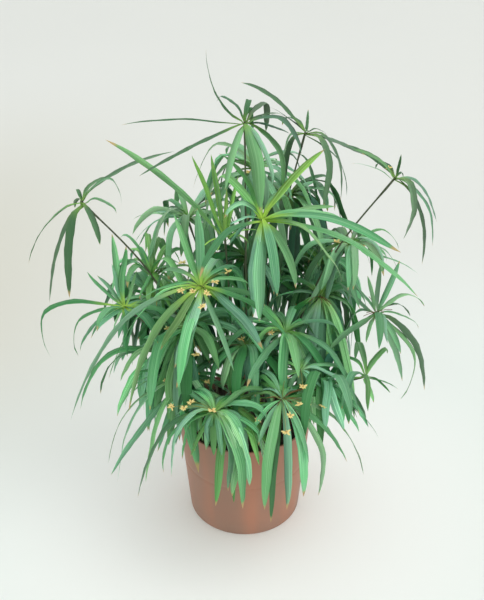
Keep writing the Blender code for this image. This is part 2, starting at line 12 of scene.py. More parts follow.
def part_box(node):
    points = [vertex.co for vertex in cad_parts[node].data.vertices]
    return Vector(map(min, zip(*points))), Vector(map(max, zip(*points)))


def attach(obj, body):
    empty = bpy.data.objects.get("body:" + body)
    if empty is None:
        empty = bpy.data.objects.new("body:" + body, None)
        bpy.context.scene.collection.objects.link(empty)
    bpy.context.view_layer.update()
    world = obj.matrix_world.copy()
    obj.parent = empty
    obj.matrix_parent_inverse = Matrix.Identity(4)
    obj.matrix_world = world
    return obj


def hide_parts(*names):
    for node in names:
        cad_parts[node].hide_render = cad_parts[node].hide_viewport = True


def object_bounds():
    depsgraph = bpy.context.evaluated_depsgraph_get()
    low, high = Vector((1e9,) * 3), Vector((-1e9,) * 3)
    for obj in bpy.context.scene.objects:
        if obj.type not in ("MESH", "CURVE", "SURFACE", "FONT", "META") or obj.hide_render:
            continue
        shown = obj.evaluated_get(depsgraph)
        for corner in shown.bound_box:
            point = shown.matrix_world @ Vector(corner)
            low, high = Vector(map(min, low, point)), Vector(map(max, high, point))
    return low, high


bl_info = {
    "name": "Potted dwarf papyrus",
    "version": (1, 0, 0),
    "blender": (4, 5, 0),
    "location": "View3D > Sidebar > Papyrus",
    "description": "Builds the pot, soil, stems, leaf crowns and flowers of a potted dwarf papyrus",
    "category": "Object",
}

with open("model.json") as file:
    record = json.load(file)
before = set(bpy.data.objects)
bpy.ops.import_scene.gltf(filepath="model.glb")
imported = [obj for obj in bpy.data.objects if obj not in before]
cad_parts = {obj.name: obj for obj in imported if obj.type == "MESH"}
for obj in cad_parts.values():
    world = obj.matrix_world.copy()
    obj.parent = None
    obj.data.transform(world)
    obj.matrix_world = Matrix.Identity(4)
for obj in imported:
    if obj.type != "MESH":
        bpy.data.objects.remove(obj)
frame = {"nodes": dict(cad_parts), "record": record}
CAD_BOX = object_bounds()
POT_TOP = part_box("pot")[1]

MM = 0.001
BODY = "root"
SEED = 41
CROWN_NUMBERS = range(1, 30)

# Corners of a frame node that lie this close together are one corner.
WELD = 0.02 * MM

# A leaf of a frame node ends at least this far from its crown's middle, and is read as a line of points.
NEAREST_TIP = 9 * MM
SECTIONS = 18

# How high a crown's middle stands over its stem's last ring. Its leaves spring from different heights about
# that middle: how far off it, and the factors that mix them.
COLLAR_RISE = 4.3 * MM
COLLAR_SPREAD = 2.2 * MM
COLLAR_MIX = 2.4
COLLAR_MIX_ACROSS = 900

# Steps between two points of a line while it is smoothed, and the least gap between two knots.
SMOOTH_STEPS = 8
KNOT_GAP = 1e-6

# How many leaves each crown gets in all, and how many are tried before it counts as full. Crowns seen
# against the backdrop keep about the leaves of their node.
LEAVES = 36
LEAVES_OF_CROWN = {
    1: 15, 2: 18, 3: 12, 4: 11, 5: 10, 6: 11, 7: 17, 8: 40, 9: 20, 10: 25, 11: 9, 12: 16, 13: 22, 14: 38,
    15: 24, 16: 38, 17: 40, 18: 28, 19: 28, 20: 34, 21: 44, 23: 24, 24: 42, 25: 60, 26: 54, 27: 50, 28: 46,
    29: 26,
}
TRIES = 8 * LEAVES

# How much lower than usual some of a crown's added leaves hang, as a share of their reach.
HANG = 0.0
HANG_OF_CROWN = {
    8: 0.6, 15: 0.5, 17: 0.4, 18: 0.3, 23: 0.4, 24: 0.7, 25: 0.7, 26: 0.6, 27: 0.3, 28: 0.6, 29: 0.5,
}

# Headings in degrees, anticlockwise from the first to the second, where a crown gets no more leaves.
BARE = {3: (220, 360), 4: (200, 360), 5: (200, 330), 9: (200, 340), 13: (245, 330), 14: (245, 285)}

# Added leaves: where between its two neighbours each lies, its length and width against theirs, and how far
# it hangs under their line for each part of its reach. Gaps are compared after a factor drawn for each.
PLACE_RANGE = (0.2, 0.8)
SIZE_RANGE = (0.62, 1.0)
WIDTH_RANGE = (0.8, 1.1)
DROOP_RANGE = (-0.16, 0.40)
GAP_RANGE = (0.3, 1)

# How strongly chance lifts, swings and twists an added leaf: two slopes, and radians.
RISE = 0.20
SWING = 0.30
TWIST = 0.45

# The share of added leaves with a kink, where along a leaf it lies, a place past every tip for the others,
# and how far the rest of a kinked leaf goes sideways, back and down for each part of its reach.
KINKED = 0.16
KINK_RANGE = (0.3, 0.7)
NO_KINK = 2.0
KINK_SIDEWAYS = 0.5
KINK_BACK = 0.25
KINK_DOWN = 1.1

# A leaf is at least this many times as long as half its width: those of the frame, and added ones.
SLIMMEST_SET = 14
SLIMMEST_ADDED = 19

# How far noise bends the midribs of the frame's leaves and of added ones, how many waves it has in a metre,
# and how far apart in it two leaves can lie.
DRIFT_SET = 8 * MM
DRIFT_ADDED = 24 * MM
DRIFT_WAVES = 22
DRIFT_APART = 90

# Added leaves keep this far inside the frame's box and clear of the pot.
ROOM = 3 * MM

# Young crowns are yellow-green. Shares of yellow-green from 0 to 1, how they spread from leaf to leaf, how
# far a leaf can go over its crown's share, and the crowns that differ.
TONE = 0.24
TONE_SPREAD = 0.16
TONE_ABOVE = 0.22
TONE_OF_CROWN = {2: 0.34, 6: 0.95, 11: 0.50, 13: 0.30, 19: 0.42, 20: 0.16, 21: 0.45}

# Leaves that stand out in their crown: crown, heading, share of yellow-green and brightness. A leaf is meant
# if its heading lies within this many degrees.
LOOKS = (
    (1, 180, 0.2, 0.6), (1, 190, 0.1, 0.7), (1, 285, 0.4, 1.25), (2, 45, 0.8, 1.0), (2, 229, 0.2, 0.75),
    (2, 267, 0.3, 1.25), (3, 160, 0.2, 0.7), (6, 165, 0.5, 1.1), (10, 165, 0.6, 1.1), (10, 345, 0.25, 1.0),
    (11, 193, 0.8, 1.3), (13, 215, 0.65, 1.25), (14, 215, 0.6, 1.0), (14, 267, 0.5, 1.0),
    (14, 300, 0.3, 0.95), (21, 15, 0.7, 1.2), (21, 256, 0.5, 1.1), (21, 300, 0.85, 1.2), (21, 325, 0.7, 1.1),
)
SAME_LEAF = 3

# How far leaves have greyed, from 0 to 1, most of all in the highest and oldest crowns.
GREY = 0.08
GREY_SPREAD = 0.15
GREY_OF_CROWN = {1: 0.55, 3: 0.6, 4: 0.6, 5: 0.6, 6: 0.0, 7: 0.45, 15: 0.4, 18: 0.4, 23: 0.4, 24: 0.4}

# How bright the leaves are, at random from leaf to leaf and by crown. The lower brightness of the crowns
# inside the plant is painted shade, and leaves of low brightness are painted a deeper green as shade.
SHADE = 1.30
SHADE_SPREAD = 0.44
BRIGHTEST = 1.65
SHADE_OF_CROWN = {
    1: 0.75, 2: 1.2, 3: 0.8, 4: 0.85, 5: 0.85, 7: 1.15, 8: 0.95, 12: 1.1, 17: 1.05, 20: 1.0, 21: 1.15,
    24: 0.85, 25: 0.75, 26: 0.85, 27: 0.8, 28: 0.85,
}

# How dry a leaf's tip is, as the mean and spread of a share that moves the dry part's start.
DRYNESS = (0.35, 0.30)

# Widths against those of the frame, for the crowns whose leaves are narrower or broader.
WIDTH_OF_CROWN = {
    6: 0.78, 8: 1.2, 11: 0.75, 17: 1.25, 19: 0.8, 22: 1.2, 24: 1.1, 25: 1.3, 26: 1.25, 27: 1.2, 28: 1.35,
}

# How bright yellow-green the middle of a crown is, and the number of its dry brown threads.
GLOW = 0.35
GLOW_OF_CROWN = {2: 1.0, 7: 0.1, 10: 0.1, 12: 0.9, 13: 0.9}
THREADS = {7: 12, 8: 7, 10: 11, 17: 7, 28: 9}

# A blade's outline: from where to where along it it opens, how bluntly it closes past its middle, and how
# much of its width its tip keeps.
OPENING = (-0.15, 0.36)
BLUNTNESS = 2.9
TIP_SHARE = 0.015

# A blade's section: the share of its fold at the tip, how much more there is at the root, and the share that
# it loses towards the margins.
FOLD_AT_TIP = 0.35
FOLD_AT_ROOT = 1.4
FOLD_LOST = 0.30

# Waves of a blade's margins, in radians: along its whole length, between two leaves, and across it.
WAVE_ALONG = 34.0
WAVE_APART = 40.0
WAVE_ACROSS = 1.3

# Flat faces round a blade and round a stem.
FACES_ROUND = 12

# A stem: points along it, how far it reaches over its crown's middle, how it swells at its last two points,
# its radius against the frame's, and how far its three corners stand out.
STEM_POINTS = 22
STEM_REACH = 1.5 * MM
SWELLING = (1.5, 1.3)
STEM_FULLNESS = 0.55
STEM_CORNERS = 0.22

# The flower clusters of each crown: heading in degrees, reach outwards and height over the crown in mm.
FLOWERS = {
    4: ((128, 11, 8),),
    9: ((115, 12, 8), (271, 38, 7)),
    10: ((272, 56, 3), (281, 36, 7), (309, 25, 8), (80, 20, 12)),
    13: ((223, 26, 6), (252, 25, 8), (280, 31, 10), (272, 46, 5), (334, 14, 9), (124, 37, 10), (25, 28, 10)),
    14: ((181, 42, 6), (190, 30, 8), (169, 23, 8), (260, 10, 9)),
    15: ((250, 16, 6),),
    16: ((201, 20, 5), (11, 11, 6), (330, 27, 7)),
    17: ((200, 24, 6), (279, 54, 4), (24, 25, 8)),
    18: ((200, 16, 6), (300, 20, 7)),
    20: ((250, 44, 8), (270, 42, 8)),
    21: ((11, 30, 6), (318, 40, 5)),
    22: ((60, 14, 8), (190, 24, 9)),
    28: ((153, 6, 9), (40, 24, 6)),
    29: ((220, 20, 9),),
}

# Dry threads: their reach and height over the crown, in mm.
THREAD_REACH = (10, 24)
THREAD_HEIGHT = (-2, 9)

# A ray or thread: points along it, its radius and flat faces, and the corner of its bow, as shares of its
# reach outwards and of its height, with a share of its reach as more height.
RAY_POINTS = 6
RAY_RADIUS = 0.32 * MM
RAY_FACES = 5
BOW_OUT = 0.45
BOW_UP = 0.75
BOW_LIFT = 0.2

# The spikelets of a cluster: how unevenly they stand round it in radians, how steeply they rise, how far they
# lean outwards and how they differ in size. Then half the width, half the length and the middle of one that
# is 1 long.
SPIKELET_UNEVEN = 0.3
SPIKELET_RISE = (-0.25, 0.85)
SPIKELET_LEAN = 0.25
SPIKELET_SIZES = (0.75, 1.15)
SPIKELET_HALF_WIDTH = 0.17
SPIKELET_HALF_LENGTH = 0.5
SPIKELET_MIDDLE = 0.42

# The pot: its wall and floor, the rounding inside its foot, the height and depth of the one outside, and the
# flat faces of the lip and of the foot.
POT_WALL = 2.2 * MM
POT_FLOOR = 3 * MM
INNER_ROUNDING = 2 * MM
FOOT_HEIGHT = 3 * MM
FOOT_DEPTH = 1.5 * MM
LIP_FACES = 8
FOOT_FACES = 6

# The moulding line round the pot's wall: heights over its middle and depths, in mm.
LINE_SECTION = ((6, 0.0), (0.7, 0.0), (0.35, 0.18), (-0.35, 0.18), (-0.7, 0.0), (-6, 0.0))

# Edges of the pot sharper than this, in degrees, stay sharp.
SHARP = 35

# The drain holes in the pot's floor: how many, their radius and their distance from its middle.
HOLES = 6
HOLE_RADIUS = 4.5 * MM
HOLE_DISTANCE = 46 * MM

# The top of the soil: its least height over the underside, the level strip along the wall, how finely it is
# cut and rounded, and the height of its lumps, how many there are in a metre, and how rough they are.
SOIL_TOP = 0.1
SOIL_STRIP = 1.5 * MM
SOIL_CUTS = 4
SOIL_ROUNDING = 0.4
LUMP_HEIGHT = 1.1 * MM
LUMPS = 160
LUMP_ROUGHNESS = (0.7, 2.0, 4)

# The soil's crumbs: their least and largest shapes against the crumb size, and a full turn about each axis.
CRUMB_LEAST = (0.25, 0.2, 0.15)
CRUMB_MOST = (1.0, 0.8, 0.6)
FULL_TURNS = (6.3, 6.3, 6.3)

# Colours of the finishes that have no setting.
DUST = (0.33, 0.24, 0.19)
BARK_FLECKS = (0.17, 0.11, 0.065)
LEAF_UNDERSIDE = (0.06, 0.25, 0.07)
# Painted shade: the purer greens of dim leaves inside the plant.
SHADY_LEAF = (0.024, 0.32, 0.055)
SHADY_BLUE_LEAF = (0.014, 0.30, 0.17)
GREYED_LEAF = (0.135, 0.195, 0.125)
LEAF_ROOT = (0.40, 0.64, 0.08)
STEM_FOOT = (0.16, 0.085, 0.04)
SPIKELET_ROOT = (0.45, 0.20, 0.035)
SPIKELET_SCALES = (0.85, 0.80, 0.48)
DRY_THREAD = (0.20, 0.10, 0.03)
# Painted shade: the darker warm grey of the backdrop behind the plant at the left.
PAINTED_BACKDROP_SHADE = (0.60, 0.58, 0.50)
SKY = (0.95, 0.98, 0.975)

# The floor's level part, the radius of the curve round it and the backdrop's height in metres, a ring on the
# level part, the strip next to the curve, and the flat faces round the sheet and up its curve.
FLOOR_RADIUS = 10.0
CURVE = 3.0
BACKDROP_TOP = 4.5
FLOOR_RING = 3.0
LEVEL_STRIP = 0.1
FLOOR_FACES = 96
CURVE_FACES = 16

# The two lights: width, place in metres and colour. Both aim at the middle of the plant, and the floor's
# faces look at a point high over it.
KEY_LIGHT = (3.2, (2.4, -1.0, 4.6), (1.0, 0.985, 0.96))
FILL_LIGHT = (1.8, (-1.3, -0.9, 1.2), (0.95, 0.98, 1.0))
PLANT_MIDDLE = Vector((0, 0, 0.25))
OVERHEAD = Vector((0, 0, 4))

# The photograph's camera: height of the picture, focal length and shifts in pixels, width of the sensor in
# mm, place in metres and how far it looks down in degrees.
PHOTO_HEIGHT = 600
FOCAL_LENGTH = 990
SHIFT = (-2.7, 5.0)
SENSOR = 36
CAMERA_PLACE = (0, -0.900, 0.815)
LOOKS_DOWN = 31.2


class Socket:
    """The output of a node. Sums and products on it add Math nodes to its tree."""

    def __init__(self, graph, link):
        self.graph = graph
        self.link = link

    def math(self, operation, *values):
        return self.graph.node("ShaderNodeMath", {"operation": operation}, dict(enumerate(values)))

    def __add__(self, other):
        return self.math("ADD", self, other)

    def __radd__(self, other):
        return self.math("ADD", other, self)

    def __sub__(self, other):
        return self.math("SUBTRACT", self, other)

    def __rsub__(self, other):
        return self.math("SUBTRACT", other, self)

    def __mul__(self, other):
        return self.math("MULTIPLY", self, other)

    def __rmul__(self, other):
        return self.math("MULTIPLY", other, self)

    def __truediv__(self, other):
        return self.math("DIVIDE", self, other)

    def __rtruediv__(self, other):
        return self.math("DIVIDE", other, self)

    def __pow__(self, other):
        return self.math("POWER", self, other)

    def __abs__(self):
        return self.math("ABSOLUTE", self)

    def __gt__(self, other):
        return self.math("GREATER_THAN", self, other)

    def sine(self):
        return self.math("SINE", self)

    def at_least(self, low):
        return self.math("MAXIMUM", self, low)

    def at_most(self, high):
        return self.math("MINIMUM", self, high)

    def rising(self, low, high):
        """0 below low and 1 above high, with a smooth step between them."""
        values = {"Value": self, "From Min": low, "From Max": high}
        return self.graph.node("ShaderNodeMapRange", {"interpolation_type": "SMOOTHSTEP"}, values)


class Graph:
    """A node tree that is written as expressions."""

    def __init__(self, tree):
        self.tree = tree

    def node(self, kind, settings=None, values=None, output=0):
        """A new node with its settings first and then its sockets: the wanted output, by number or name."""
        made = self.tree.nodes.new(kind)
        for name, value in (settings or {}).items():
            setattr(made, name, value)
        for key, value in (values or {}).items():
            socket = self.pick(made.inputs, key)
            if isinstance(value, Socket):
                self.tree.links.new(value.link, socket)
            elif value is not None:
                socket.default_value = value
        return Socket(self, self.pick(made.outputs, output)) if made.outputs else made

    @staticmethod
    def pick(sockets, key):
        shown = [socket for socket in sockets if socket.enabled]
        return shown[key] if isinstance(key, int) else next(s for s in shown if s.name == key)

    def vector(self, operation, *values):
        return self.node("ShaderNodeVectorMath", {"operation": operation}, dict(enumerate(values)))

    def scaled(self, vector, factor):
        return self.node("ShaderNodeVectorMath", {"operation": "SCALE"}, {"Vector": vector, "Scale": factor})

    def axis(self, vector, name):
        return self.node("ShaderNodeSeparateXYZ", None, {"Vector": vector}, output=name)

    def xyz(self, x, y, z):
        return self.node("ShaderNodeCombineXYZ", None, {"X": x, "Y": y, "Z": z})

    def mix(self, factor, first, second):
        """The first colour at factor 0 and the second at 1. Colours are sockets or three numbers."""
        first, second = (c if isinstance(c, Socket) else (*c, 1) for c in (first, second))
        values = {"Factor": factor, "A": first, "B": second}
        return self.node("ShaderNodeMix", {"data_type": "RGBA"}, values)


class Shader(Graph):
    """A material of one Principled surface."""

    def __init__(self, name, colour, **constants):
        self.material = bpy.data.materials.new(name)
        self.material.use_nodes = True
        self.material.diffuse_color = (*colour, 1)
        super().__init__(self.material.node_tree)
        self.surface = self.tree.nodes["Principled BSDF"]
        for socket, value in constants.items():
            self.surface.inputs[socket.replace("_", " ")].default_value = value

    def place(self):
        return self.node("ShaderNodeTexCoord", output="Object")

    def attribute(self, name):
        return self.node("ShaderNodeAttribute", {"attribute_name": name}, output="Fac")

    def noise(self, scale, detail=2.0, vector=None, stretch=(1, 1, 1)):
        vector = vector or self.vector("MULTIPLY", self.place(), stretch)
        values = {"Vector": vector, "Scale": scale, "Detail": detail}
        return self.node("ShaderNodeTexNoise", None, values)

    def bump(self, height, strength, distance):
        values = {"Height": height, "Strength": strength, "Distance": distance}
        return self.node("ShaderNodeBump", None, values)

    def wire(self, **sockets):
        for name, value in sockets.items():
            self.tree.links.new(value.link, self.surface.inputs[name.replace("_", " ")])
        return self.material


class Growth(Graph):
    """A Geometry Nodes tree that makes one mesh from a rough one, with named inputs."""

    def __init__(self, name):
        super().__init__(bpy.data.node_groups.new(name, "GeometryNodeTree"))
        self.keys = {}
        self.tree.interface.new_socket("Geometry", in_out="INPUT", socket_type="NodeSocketGeometry")
        self.tree.interface.new_socket("Geometry", in_out="OUTPUT", socket_type="NodeSocketGeometry")
        self.entry = self.tree.nodes.new("NodeGroupInput")
        self.start = Socket(self, self.entry.outputs["Geometry"])

    def input(self, name, kind="Float"):
        item = self.tree.interface.new_socket(name, in_out="INPUT", socket_type="NodeSocket" + kind)
        self.keys[name] = item.identifier
        return Socket(self, self.entry.outputs[name])

    def named(self, name, kind="FLOAT"):
        return self.node("GeometryNodeInputNamedAttribute", {"data_type": kind}, {"Name": name})

    def store(self, geometry, name, value, kind="FLOAT"):
        settings = {"data_type": kind, "domain": "POINT"}
        values = {"Geometry": geometry, "Name": name, "Value": value}
        return self.node("GeometryNodeStoreNamedAttribute", settings, values)

    def joined(self, first, second):
        whole = self.node("GeometryNodeJoinGeometry", None, {"Geometry": first})
        self.tree.links.new(second.link, whole.link.node.inputs["Geometry"])
        return whole

    def finish(self, geometry):
        whole = self.node("GeometryNodeRealizeInstances", None, {"Geometry": geometry})
        material = self.input("Material", "Material")
        painted = self.node("GeometryNodeSetMaterial", None, {"Geometry": whole, "Material": material})
        smooth = self.node("GeometryNodeSetShadeSmooth", None, {"Geometry": painted})
        self.tree.links.new(smooth.link, self.tree.nodes.new("NodeGroupOutput").inputs["Geometry"])
        return self

    def grow(self, obj, **values):
        """Runs the tree on an object and turns the result into its plain mesh."""
        modifier = obj.modifiers.new(self.tree.name, "NODES")
        modifier.node_group = self.tree
        for name, value in values.items():
            modifier[self.keys[name.replace("_", " ").capitalize()]] = value
        apply_modifiers(obj)


def apply_modifiers(obj):
    """Turns what an object's modifiers make into its plain mesh."""
    graph = bpy.context.evaluated_depsgraph_get()
    rough = obj.data
    obj.data = bpy.data.meshes.new_from_object(obj.evaluated_get(graph), depsgraph=graph)
    obj.modifiers.clear()
    bpy.data.meshes.remove(rough)
    obj.data.name = obj.name


def new_piece(name, mesh, material=None):
    piece = bpy.data.objects.new(name, mesh)
    bpy.context.scene.collection.objects.link(piece)
    if material:
        mesh.materials.append(material)
    return piece


def to_mesh(shape, name):
    """A bmesh as a mesh. The bmesh is freed."""
    mesh = bpy.data.meshes.new(name)
    shape.to_mesh(mesh)
    shape.free()
    return mesh


def line_mesh(name, points, edges, numbers, vectors):
    """Points joined by edges, with named lists of numbers and of vectors stored on the points."""
    mesh = bpy.data.meshes.new(name)
    mesh.from_pydata(points, edges, [])
    for key, values in numbers.items():
        mesh.attributes.new(key, "FLOAT", "POINT").data.foreach_set("value", values)
    for key, values in vectors.items():
        flat = [part for vector in values for part in vector]
        mesh.attributes.new(key, "FLOAT_VECTOR", "POINT").data.foreach_set("vector", flat)
    return mesh


def settle(piece, slot, *nodes):
    """A finished piece rides on the one body and stands for its CAD nodes. Its slot argument is not used."""
    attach(piece, BODY)
    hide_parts(*nodes)


def welded(node):
    """A node's mesh as a bmesh, with its loose triangles sewn together."""
    made = bmesh.new()
    made.from_mesh(frame["nodes"][node].data)
    bmesh.ops.remove_doubles(made, verts=made.verts, dist=WELD)
    return made


def mean(points):
    return sum(points, Vector()) / len(points)


def smooth_line(points, count):
    """Points at even distances on a Catmull-Rom curve, with knots spaced by the root of each distance."""
    whole = [2 * points[0] - points[1], *points, 2 * points[-1] - points[-2]]
    fine = []
    for a, b, c, d in zip(whole, whole[1:], whole[2:], whole[3:]):
        knots = [0.0]
        for start, end in ((a, b), (b, c), (c, d)):
            knots.append(knots[-1] + math.sqrt((end - start).length) + KNOT_GAP)
        for step in range(SMOOTH_STEPS):
            t = knots[1] + (knots[2] - knots[1]) * step / SMOOTH_STEPS
            fine.append(catmull_rom((a, b, c, d), knots, t))
    fine.append(points[-1])
    lengths = [0.0]
    for start, end in zip(fine, fine[1:]):
        lengths.append(lengths[-1] + (end - start).length)
    even = []
    place = 0
    for step in range(count):
        wanted = lengths[-1] * step / (count - 1)
        while place < len(fine) - 2 and lengths[place + 1] < wanted:
            place += 1
        span = lengths[place + 1] - lengths[place]
        even.append(fine[place].lerp(fine[place + 1], (wanted - lengths[place]) / span))
    return even


def catmull_rom(points, knots, t):
    """Blends four points into the one at t, in three rounds."""
    level = list(points)
    for depth in range(1, 4):
        level = [
            level[i].lerp(level[i + 1], (t - left) / (right - left))
            for i, (left, right) in enumerate(spans(knots, depth))
        ]
    return level[0]


def spans(knots, depth):
    """The knot intervals that each level of the Catmull-Rom pyramid blends over."""
    if depth == 1:
        return [(knots[0], knots[1]), (knots[1], knots[2]), (knots[2], knots[3])]
    if depth == 2:
        return [(knots[0], knots[2]), (knots[1], knots[3])]
    return [(knots[1], knots[2])]


class Blade(NamedTuple):
    """One leaf: its midrib from the crown outwards, crosswise directions, half its width and its drift."""

    line: list
    across: list
    half: float
    drift: float

    def heading(self):
        out = self.line[-1] - self.line[0]
        middle = self.line[len(self.line) // 2] - self.line[0]
        away = out.xy if out.xy.length > middle.xy.length / 2 else middle.xy
        return math.degrees(math.atan2(away.y, away.x)) % 360


class Crown:
    """What the frame says about one crown: the line of its stem, its middle and its leaves."""

    def __init__(self, number):
        self.number = number
        self.node = f"leaf_crown_{number:02d}"
        self.stem = f"stem_{number:02d}"
        self.stem_rings = self.find_stem()
        first, last = self.stem_rings[-2:]
        self.lean = (last[0] - first[0]).normalized()
        self.hub = last[0] + self.lean * COLLAR_RISE
        self.blades = self.find_blades()

    def find_stem(self):
        """The middle and radius of each ring of three corners of the stem, from the soil up."""
        made = welded(self.stem)
        corners = sorted((corner.co.copy() for corner in made.verts), key=lambda corner: corner.z)
        made.free()
        rings = []
        for first in range(0, len(corners), 3):
            ring = corners[first:first + 3]
            middle = mean(ring)
            rings.append((middle, mean([Vector(((c - middle).length, 0, 0)) for c in ring]).x))
        return rings

    def find_blades(self):
        made = welded(self.node)
        found = []
        for tip in made.verts:
            ring = around([tip], [])
            if len(ring) == 3 and (tip.co - self.hub).length > NEAREST_TIP and is_ring(ring):
                found.append(self.blade_from(tip, ring))
        made.free()
        return sorted(found, key=Blade.heading)

    def blade_from(self, tip, ring):
        """Follows the rings of three corners from a leaf's tip to where it merges with its neighbours."""
        points, sides, widths = [tip.co.copy()], [], []
        seen = [tip]
        while len(ring) == 3 and is_ring(ring):
            left, right = widest([corner.co.copy() for corner in ring])
            side = (left - right).normalized()
            if sides and side.dot(sides[-1]) < 0:
                side = -side
            points.append((left + right) / 2)
            sides.append(side)
            widths.append((left - right).length)
            seen += ring
            ring = around(ring, seen)
        mixed = COLLAR_MIX * len(seen) + COLLAR_MIX_ACROSS * tip.co.x
        start = self.hub + self.lean * (COLLAR_SPREAD * math.sin(mixed))
        points.append(start)
        points.reverse()
        sides = [sides[0], *sides, sides[-1]][::-1]
        line = smooth_line(points, SECTIONS)
        across = spread(points, sides, line)
        return Blade(line, across, 0.5 * max(widths), DRIFT_SET)


def around(corners, seen):
    found = []
    for corner in corners:
        for edge in corner.link_edges:
            other = edge.other_vert(corner)
            if other not in corners and other not in seen and other not in found:
                found.append(other)
    return found


def is_ring(corners):
    """Three corners that are all joined to each other."""
    return all(b in [e.other_vert(a) for e in a.link_edges] for a in corners for b in corners if a != b)


def widest(corners):
    pairs = [(corners[i], corners[j]) for i, j in ((0, 1), (1, 2), (2, 0))]
    return max(pairs, key=lambda pair: (pair[0] - pair[1]).length)


def spread(points, sides, line):
    """The crosswise direction at each point of a fine line, between those of the rough line's points."""
    lengths = [0.0]
    for start, end in zip(points, points[1:]):
        lengths.append(lengths[-1] + (end - start).length)
    found = []
    place = 0
    for index, point in enumerate(line):
        wanted = lengths[-1] * index / (len(line) - 1)
        while place < len(points) - 2 and lengths[place + 1] < wanted:
            place += 1
        share = (wanted - lengths[place]) / (lengths[place + 1] - lengths[place])
        found.append(sides[place].lerp(sides[place + 1], min(1.0, share)).normalized())
    return found


CROWNS = [Crown(number) for number in CROWN_NUMBERS]


def colour_setting(name, description, default):
    return FloatVectorProperty(
        name=name, description=description, default=default, subtype="COLOR", size=3, min=0, max=1,
    )


def length_setting(name, description, default):
    return FloatProperty(name=name, description=description, default=default, min=0, unit="LENGTH")


def power_setting(name, description, default):
    return FloatProperty(name=name, description=description, default=default, min=0, unit="POWER")


def share_setting(name, description, default):
    return FloatProperty(name=name, description=description, default=default, min=0, subtype="FACTOR")


class PotSettings(bpy.types.PropertyGroup):
    clay: colour_setting("Plastic", "Colour of the pot's plastic", (0.445, 0.190, 0.117))
    steps: IntProperty(name="Steps", description="Flat faces round the pot's wall", default=128, min=24)
    lip: length_setting("Lip rounding", "Radius of the rounded top edge", 0.8 * MM)
    line_height: length_setting("Moulding line", "Height of the faint line round the wall", 74 * MM)


class SoilSettings(bpy.types.PropertyGroup):
    colour: colour_setting("Soil", "Colour of the moist potting soil", (0.030, 0.018, 0.012))
    crumbs: FloatProperty(
        name="Crumbs", description="Crumbs of bark and peat for each square metre", default=90000, min=0,
    )
    crumb_size: length_setting("Crumb size", "Radius of a large crumb", 1.7 * MM)


class LeafSettings(bpy.types.PropertyGroup):
    deep: colour_setting("Old leaf", "Colour of a fully grown leaf", (0.088, 0.365, 0.142))
    young: colour_setting("Young leaf", "Colour of a young leaf", (0.23, 0.45, 0.05))
    # The pale streaks are partly the leaf's own streaks and partly a painted highlight.
    streak_and_painted_highlight: colour_setting("Streaks", "Colour of the pale streaks along a blade", (0.52, 0.66, 0.45))
    dry: colour_setting("Dry tip", "Colour of a leaf's dry tip", (0.50, 0.36, 0.17))
    fullness: FloatProperty(
        name="Fullness", description="Width of the leaves against those of the frame", default=1.08, min=0.5,
    )
    thickness: share_setting("Thickness", "Thickness of a blade as a share of its half width", 0.045)
    fold: share_setting("Fold", "Rise of the margins over the midrib, as a share of the half width", 0.48)
    ripple: share_setting("Ripple", "Waviness of the margins, as a share of the half width", 0.07)


class StemSettings(bpy.types.PropertyGroup):
    colour: colour_setting("Stem", "Colour of the stems", (0.070, 0.085, 0.042))


class FlowerSettings(bpy.types.PropertyGroup):
    colour: colour_setting("Spikelet", "Colour of the pale spikelets", (0.87, 0.70, 0.27))
    stalk: colour_setting("Ray", "Colour of the rays that carry the clusters", (0.22, 0.26, 0.07))
    length: length_setting("Spikelet length", "Length of one spikelet", 5.2 * MM)
    spikelets: IntProperty(name="Spikelets", description="Spikelets in a cluster", default=8, min=3)


class StageSettings(bpy.types.PropertyGroup):
    # Painted light: the floor round the pot is painted brighter, which lightens the plant's shadow there.
    painted_light_round_pot: colour_setting("Foot", "Colour of the floor round the pot", (0.97, 0.965, 0.94))
    floor: colour_setting("Floor", "Colour of the floor", (0.765, 0.80, 0.765))
    far: colour_setting("Backdrop", "Colour of the backdrop", (0.71, 0.71, 0.68))
    key: power_setting("Key light", "Power of the large soft light", 48.0)
    fill: power_setting("Fill light", "Power of the light from the left", 1.0)
    sky: FloatProperty(name="Sky", description="Strength of the even light from all round", default=1.10)


def tinted(colour, *factors):
    """A colour times one factor, or times one each for its red, green and blue."""
    return tuple(part * factor for part, factor in zip(colour, factors * 3))


def plastic_material(settings):
    """Satin moulded plastic: faint upright flow streaks, dust towards the foot, a fine grain and painted
    shade that greys its left side.
    """
    paint = Shader("terracotta_plastic", settings.clay, IOR=1.46)
    height = paint.axis(paint.place(), "Z")
    sideways = paint.axis(paint.place(), "X")
    streaks = paint.noise(30.0, detail=3.0, stretch=(1, 1, 0.05))
    clouds = paint.noise(9.0, detail=3.0)
    base = tuple(settings.clay)
    pale = tuple(min(1, part * 1.22 + 0.02) for part in base)
    grey = tinted(base, 0.74, 0.95, 1.08)
    colour = paint.mix(streaks.rising(0.38, 0.62), grey, base)
    colour = paint.mix(clouds.rising(0.45, 0.8) * 0.5, colour, pale)
    # Painted shade: the left side of the pot is greyed, as if less light fell on it.
    colour = paint.mix((1 - sideways.rising(-0.055, 0.02)) * 0.5, colour, grey)
    dust = (1 - height.rising(0.0, 0.03)) * 0.25
    colour = paint.mix(dust, colour, DUST)
    grain = paint.noise(1800.0)
    rough = 0.42 + streaks * 0.12 + dust * 0.3
    normal = paint.bump(grain * 0.6 + streaks * 0.8, strength=0.12, distance=0.4 * MM)
    return paint.wire(Base_Color=colour, Roughness=rough, Normal=normal)


def soil_material(settings):
    """Dark moist peat with paler flecks."""
    paint = Shader("potting_soil", settings.colour)
    lumps = paint.noise(160.0, detail=6.0)
    flecks = paint.noise(700.0)
    base = tuple(settings.colour)
    colour = paint.mix(lumps.rising(0.35, 0.7), tinted(base, 0.45), tinted(base, 2.1))
    colour = paint.mix(flecks.rising(0.66, 0.74), colour, BARK_FLECKS)
    normal = paint.bump(lumps + flecks * 0.4, strength=0.8, distance=1.5 * MM)
    return paint.wire(Base_Color=colour, Roughness=0.75 + lumps * 0.25, Normal=normal)


